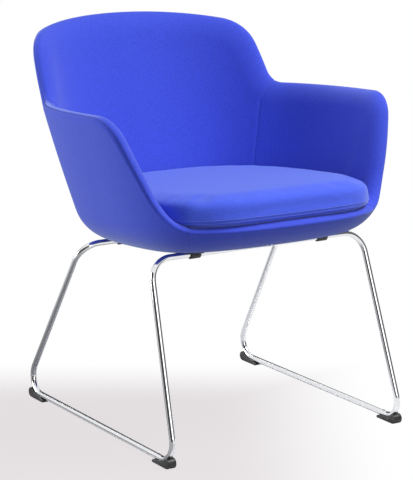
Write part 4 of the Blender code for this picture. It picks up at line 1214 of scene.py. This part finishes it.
CAMERA_AZIMUTH = math.radians(-31.99)
FLOOR_SIZE = 60.0
FLOOR_WHITE_RIGHT = (0.02, 0.38)
FLOOR_WHITE_BEHIND = (0.0, 0.33)
# The grey and tint of the painted shade that the floor's glow takes near the chair.
FLOOR_PAINTED_SHADE_GREY = 0.845
FLOOR_TINT = (1.0, 0.958, 0.969)
FLOOR_SHADOW_SHARE = (0.11, 0.0)
floor = stage_sheet("floor", FLOOR_SIZE, FLOOR_SIZE, Matrix.Identity(4))
floor_paint, floor_tree, floor_shader = blank_finish("pale_floor", (0.36, 0.355, 0.355), 0.9)
floor_shader.inputs["Specular IOR Level"].default_value = 0.0
floor_place = add_node(floor_tree, "ShaderNodeTexCoord")
floor_turn = add_node(floor_tree, "ShaderNodeMapping", Rotation=(0.0, 0.0, -CAMERA_AZIMUTH))
floor_ways = add_node(floor_tree, "ShaderNodeSeparateXYZ")
floor_tree.links.new(floor_place.outputs["Object"], floor_turn.inputs["Vector"])
floor_tree.links.new(floor_turn.outputs["Vector"], floor_ways.inputs["Vector"])
whiter_ways = (("X", FLOOR_WHITE_RIGHT), ("Y", FLOOR_WHITE_BEHIND))
whiter = (drawn_out(floor_tree, floor_ways.outputs[way], reach, (0.0, 1.0), "SMOOTHSTEP")
          for way, reach in whiter_ways)
whiteness = larger(floor_tree, *whiter)
# The floor glows for the camera and for polished metal: painted light, grey and tinted as painted shade near
# the chair, white further away.
floor_painted_glow = add_node(floor_tree, "ShaderNodeEmission")
tint(floor_tree, floor_painted_glow, whiteness, FLOOR_TINT, (1.0, 1.0, 1.0), "Color")
glow_strength = drawn_out(floor_tree, whiteness, (0.0, 1.0), (FLOOR_PAINTED_SHADE_GREY, 1.0))
floor_tree.links.new(glow_strength, floor_painted_glow.inputs["Strength"])
shadow_share = drawn_out(floor_tree, whiteness, (0.0, 1.0), FLOOR_SHADOW_SHARE)
lit_floor = floor_shader.outputs["BSDF"]
with_shadow = mixed(floor_tree, shadow_share, floor_painted_glow.outputs["Emission"], lit_floor)
floor_look = mixed(floor_tree, seen_directly(floor_tree), lit_floor, with_shadow)
floor_tree.links.new(floor_look, floor_tree.nodes["Material Output"].inputs["Surface"])
floor.data.materials.append(floor_paint)


def show_to_metal_only(card, tone):
    """Paints a card that only polished metal sees."""
    paint, tree, shader = blank_finish(f"{card.name}_paint", (tone, tone, tone), 0.9)
    roughen(tree, shader, grain(tree, 40.0), distance=0.002, strength=0.2)
    card.data.materials.append(paint)
    card.visible_camera = False
    card.visible_diffuse = False
    card.visible_transmission = False
    card.visible_volume_scatter = False
    card.visible_shadow = False


UPRIGHT_CARDS = (
    ("left_card", (-2.15, -1.25, 1.3), 4.6, 2.6, 0.07),
    ("right_card", (2.2, -1.15, 1.3), 3.2, 2.6, 0.10),
    ("back_card", (0.75, 3.0, 1.05), 3.1, 2.1, 0.1),
)
for name, place, width, height, tone in UPRIGHT_CARDS:
    facing_chair = Vector((-place[0], -place[1], 0.0)).to_track_quat("Z", "Y").to_matrix().to_4x4()
    show_to_metal_only(stage_sheet(name, width, height, Matrix.Translation(place) @ facing_chair), tone)
# Cards lying on the floor that only the chrome sees: painted shade of the floor, and under the chair the
# chair's painted shadow, in the chrome's reflections.
FLOOR_SHADE_CARDS = (
    ("floor_shade_card", (-0.98, 0.2, 0.002), 1.4, 2.8, 0.37),
    ("under_chair_shadow_card", (0.0, 0.25, 0.002), 0.55, 1.2, 0.88),
)
for name, place, width, depth, tone in FLOOR_SHADE_CARDS:
    show_to_metal_only(stage_sheet(name, width, depth, Matrix.Translation(place)), tone)

WORLD_FILL = 0.23
world = bpy.data.worlds.new("studio")
scene.world = world
world.use_nodes = True
world_tree = world.node_tree
world_tree.nodes.clear()
seen = add_node(world_tree, "ShaderNodeBackground", Color=(1.0, 1.0, 1.0, 1.0), Strength=1.0)
fill = add_node(world_tree, "ShaderNodeBackground", Color=(1.0, 1.0, 1.0, 1.0), Strength=WORLD_FILL)
world_out = add_node(world_tree, "ShaderNodeOutputWorld")
fill_and_seen = (fill.outputs["Background"], seen.outputs["Background"])
world_look = mixed(world_tree, seen_directly(world_tree), *fill_and_seen)
world_tree.links.new(world_look, world_out.inputs["Surface"])

SOFTBOXES = (
    ("top_softbox", (1.15, -1.15, 2.9), (0.0, 0.0, 0.45), (1.6, 1.6), 96.0),
    ("front_softbox", (-0.9, -2.9, 1.2), (0.0, 0.0, 0.45), (2.0, 1.2), 14.0),
    ("left_softbox", (-2.2, 1.3, 0.8), (-0.2, 0.0, 0.5), (1.4, 1.0), 46.0),
)
for name, place, aim, size, watts in SOFTBOXES:
    lamp = bpy.data.lights.new(name, "AREA")
    lamp.shape = "RECTANGLE"
    lamp.size, lamp.size_y = size
    lamp.energy = watts
    softbox = new_object(name, lamp)
    softbox.location = place
    softbox.rotation_euler = (Vector(aim) - Vector(place)).to_track_quat("-Z", "Y").to_euler()

CAMERA_TARGET = Vector((-0.00433, 0.00270 + chair_y, 0.3512))
CAMERA_ELEVATION = math.radians(12.40)
CAMERA_DISTANCE = 4.03
CAMERA_LENS = 151.1
CAMERA_SENSOR_WIDTH = 36.0
back_way = Vector((math.sin(CAMERA_AZIMUTH) * math.cos(CAMERA_ELEVATION),
                   -math.cos(CAMERA_AZIMUTH) * math.cos(CAMERA_ELEVATION), math.sin(CAMERA_ELEVATION)))
right_way = Vector((math.cos(CAMERA_AZIMUTH), math.sin(CAMERA_AZIMUTH), 0.0))
up_way = back_way.cross(right_way)
camera_data = bpy.data.cameras.new("photo_view")
camera_data.sensor_width = CAMERA_SENSOR_WIDTH
camera_data.lens = CAMERA_LENS
camera = new_object("photo_view", camera_data)
turn = Matrix((right_way, up_way, back_way)).transposed().to_4x4()
camera.matrix_world = Matrix.Translation(CAMERA_TARGET + back_way * CAMERA_DISTANCE) @ turn
scene.camera = camera
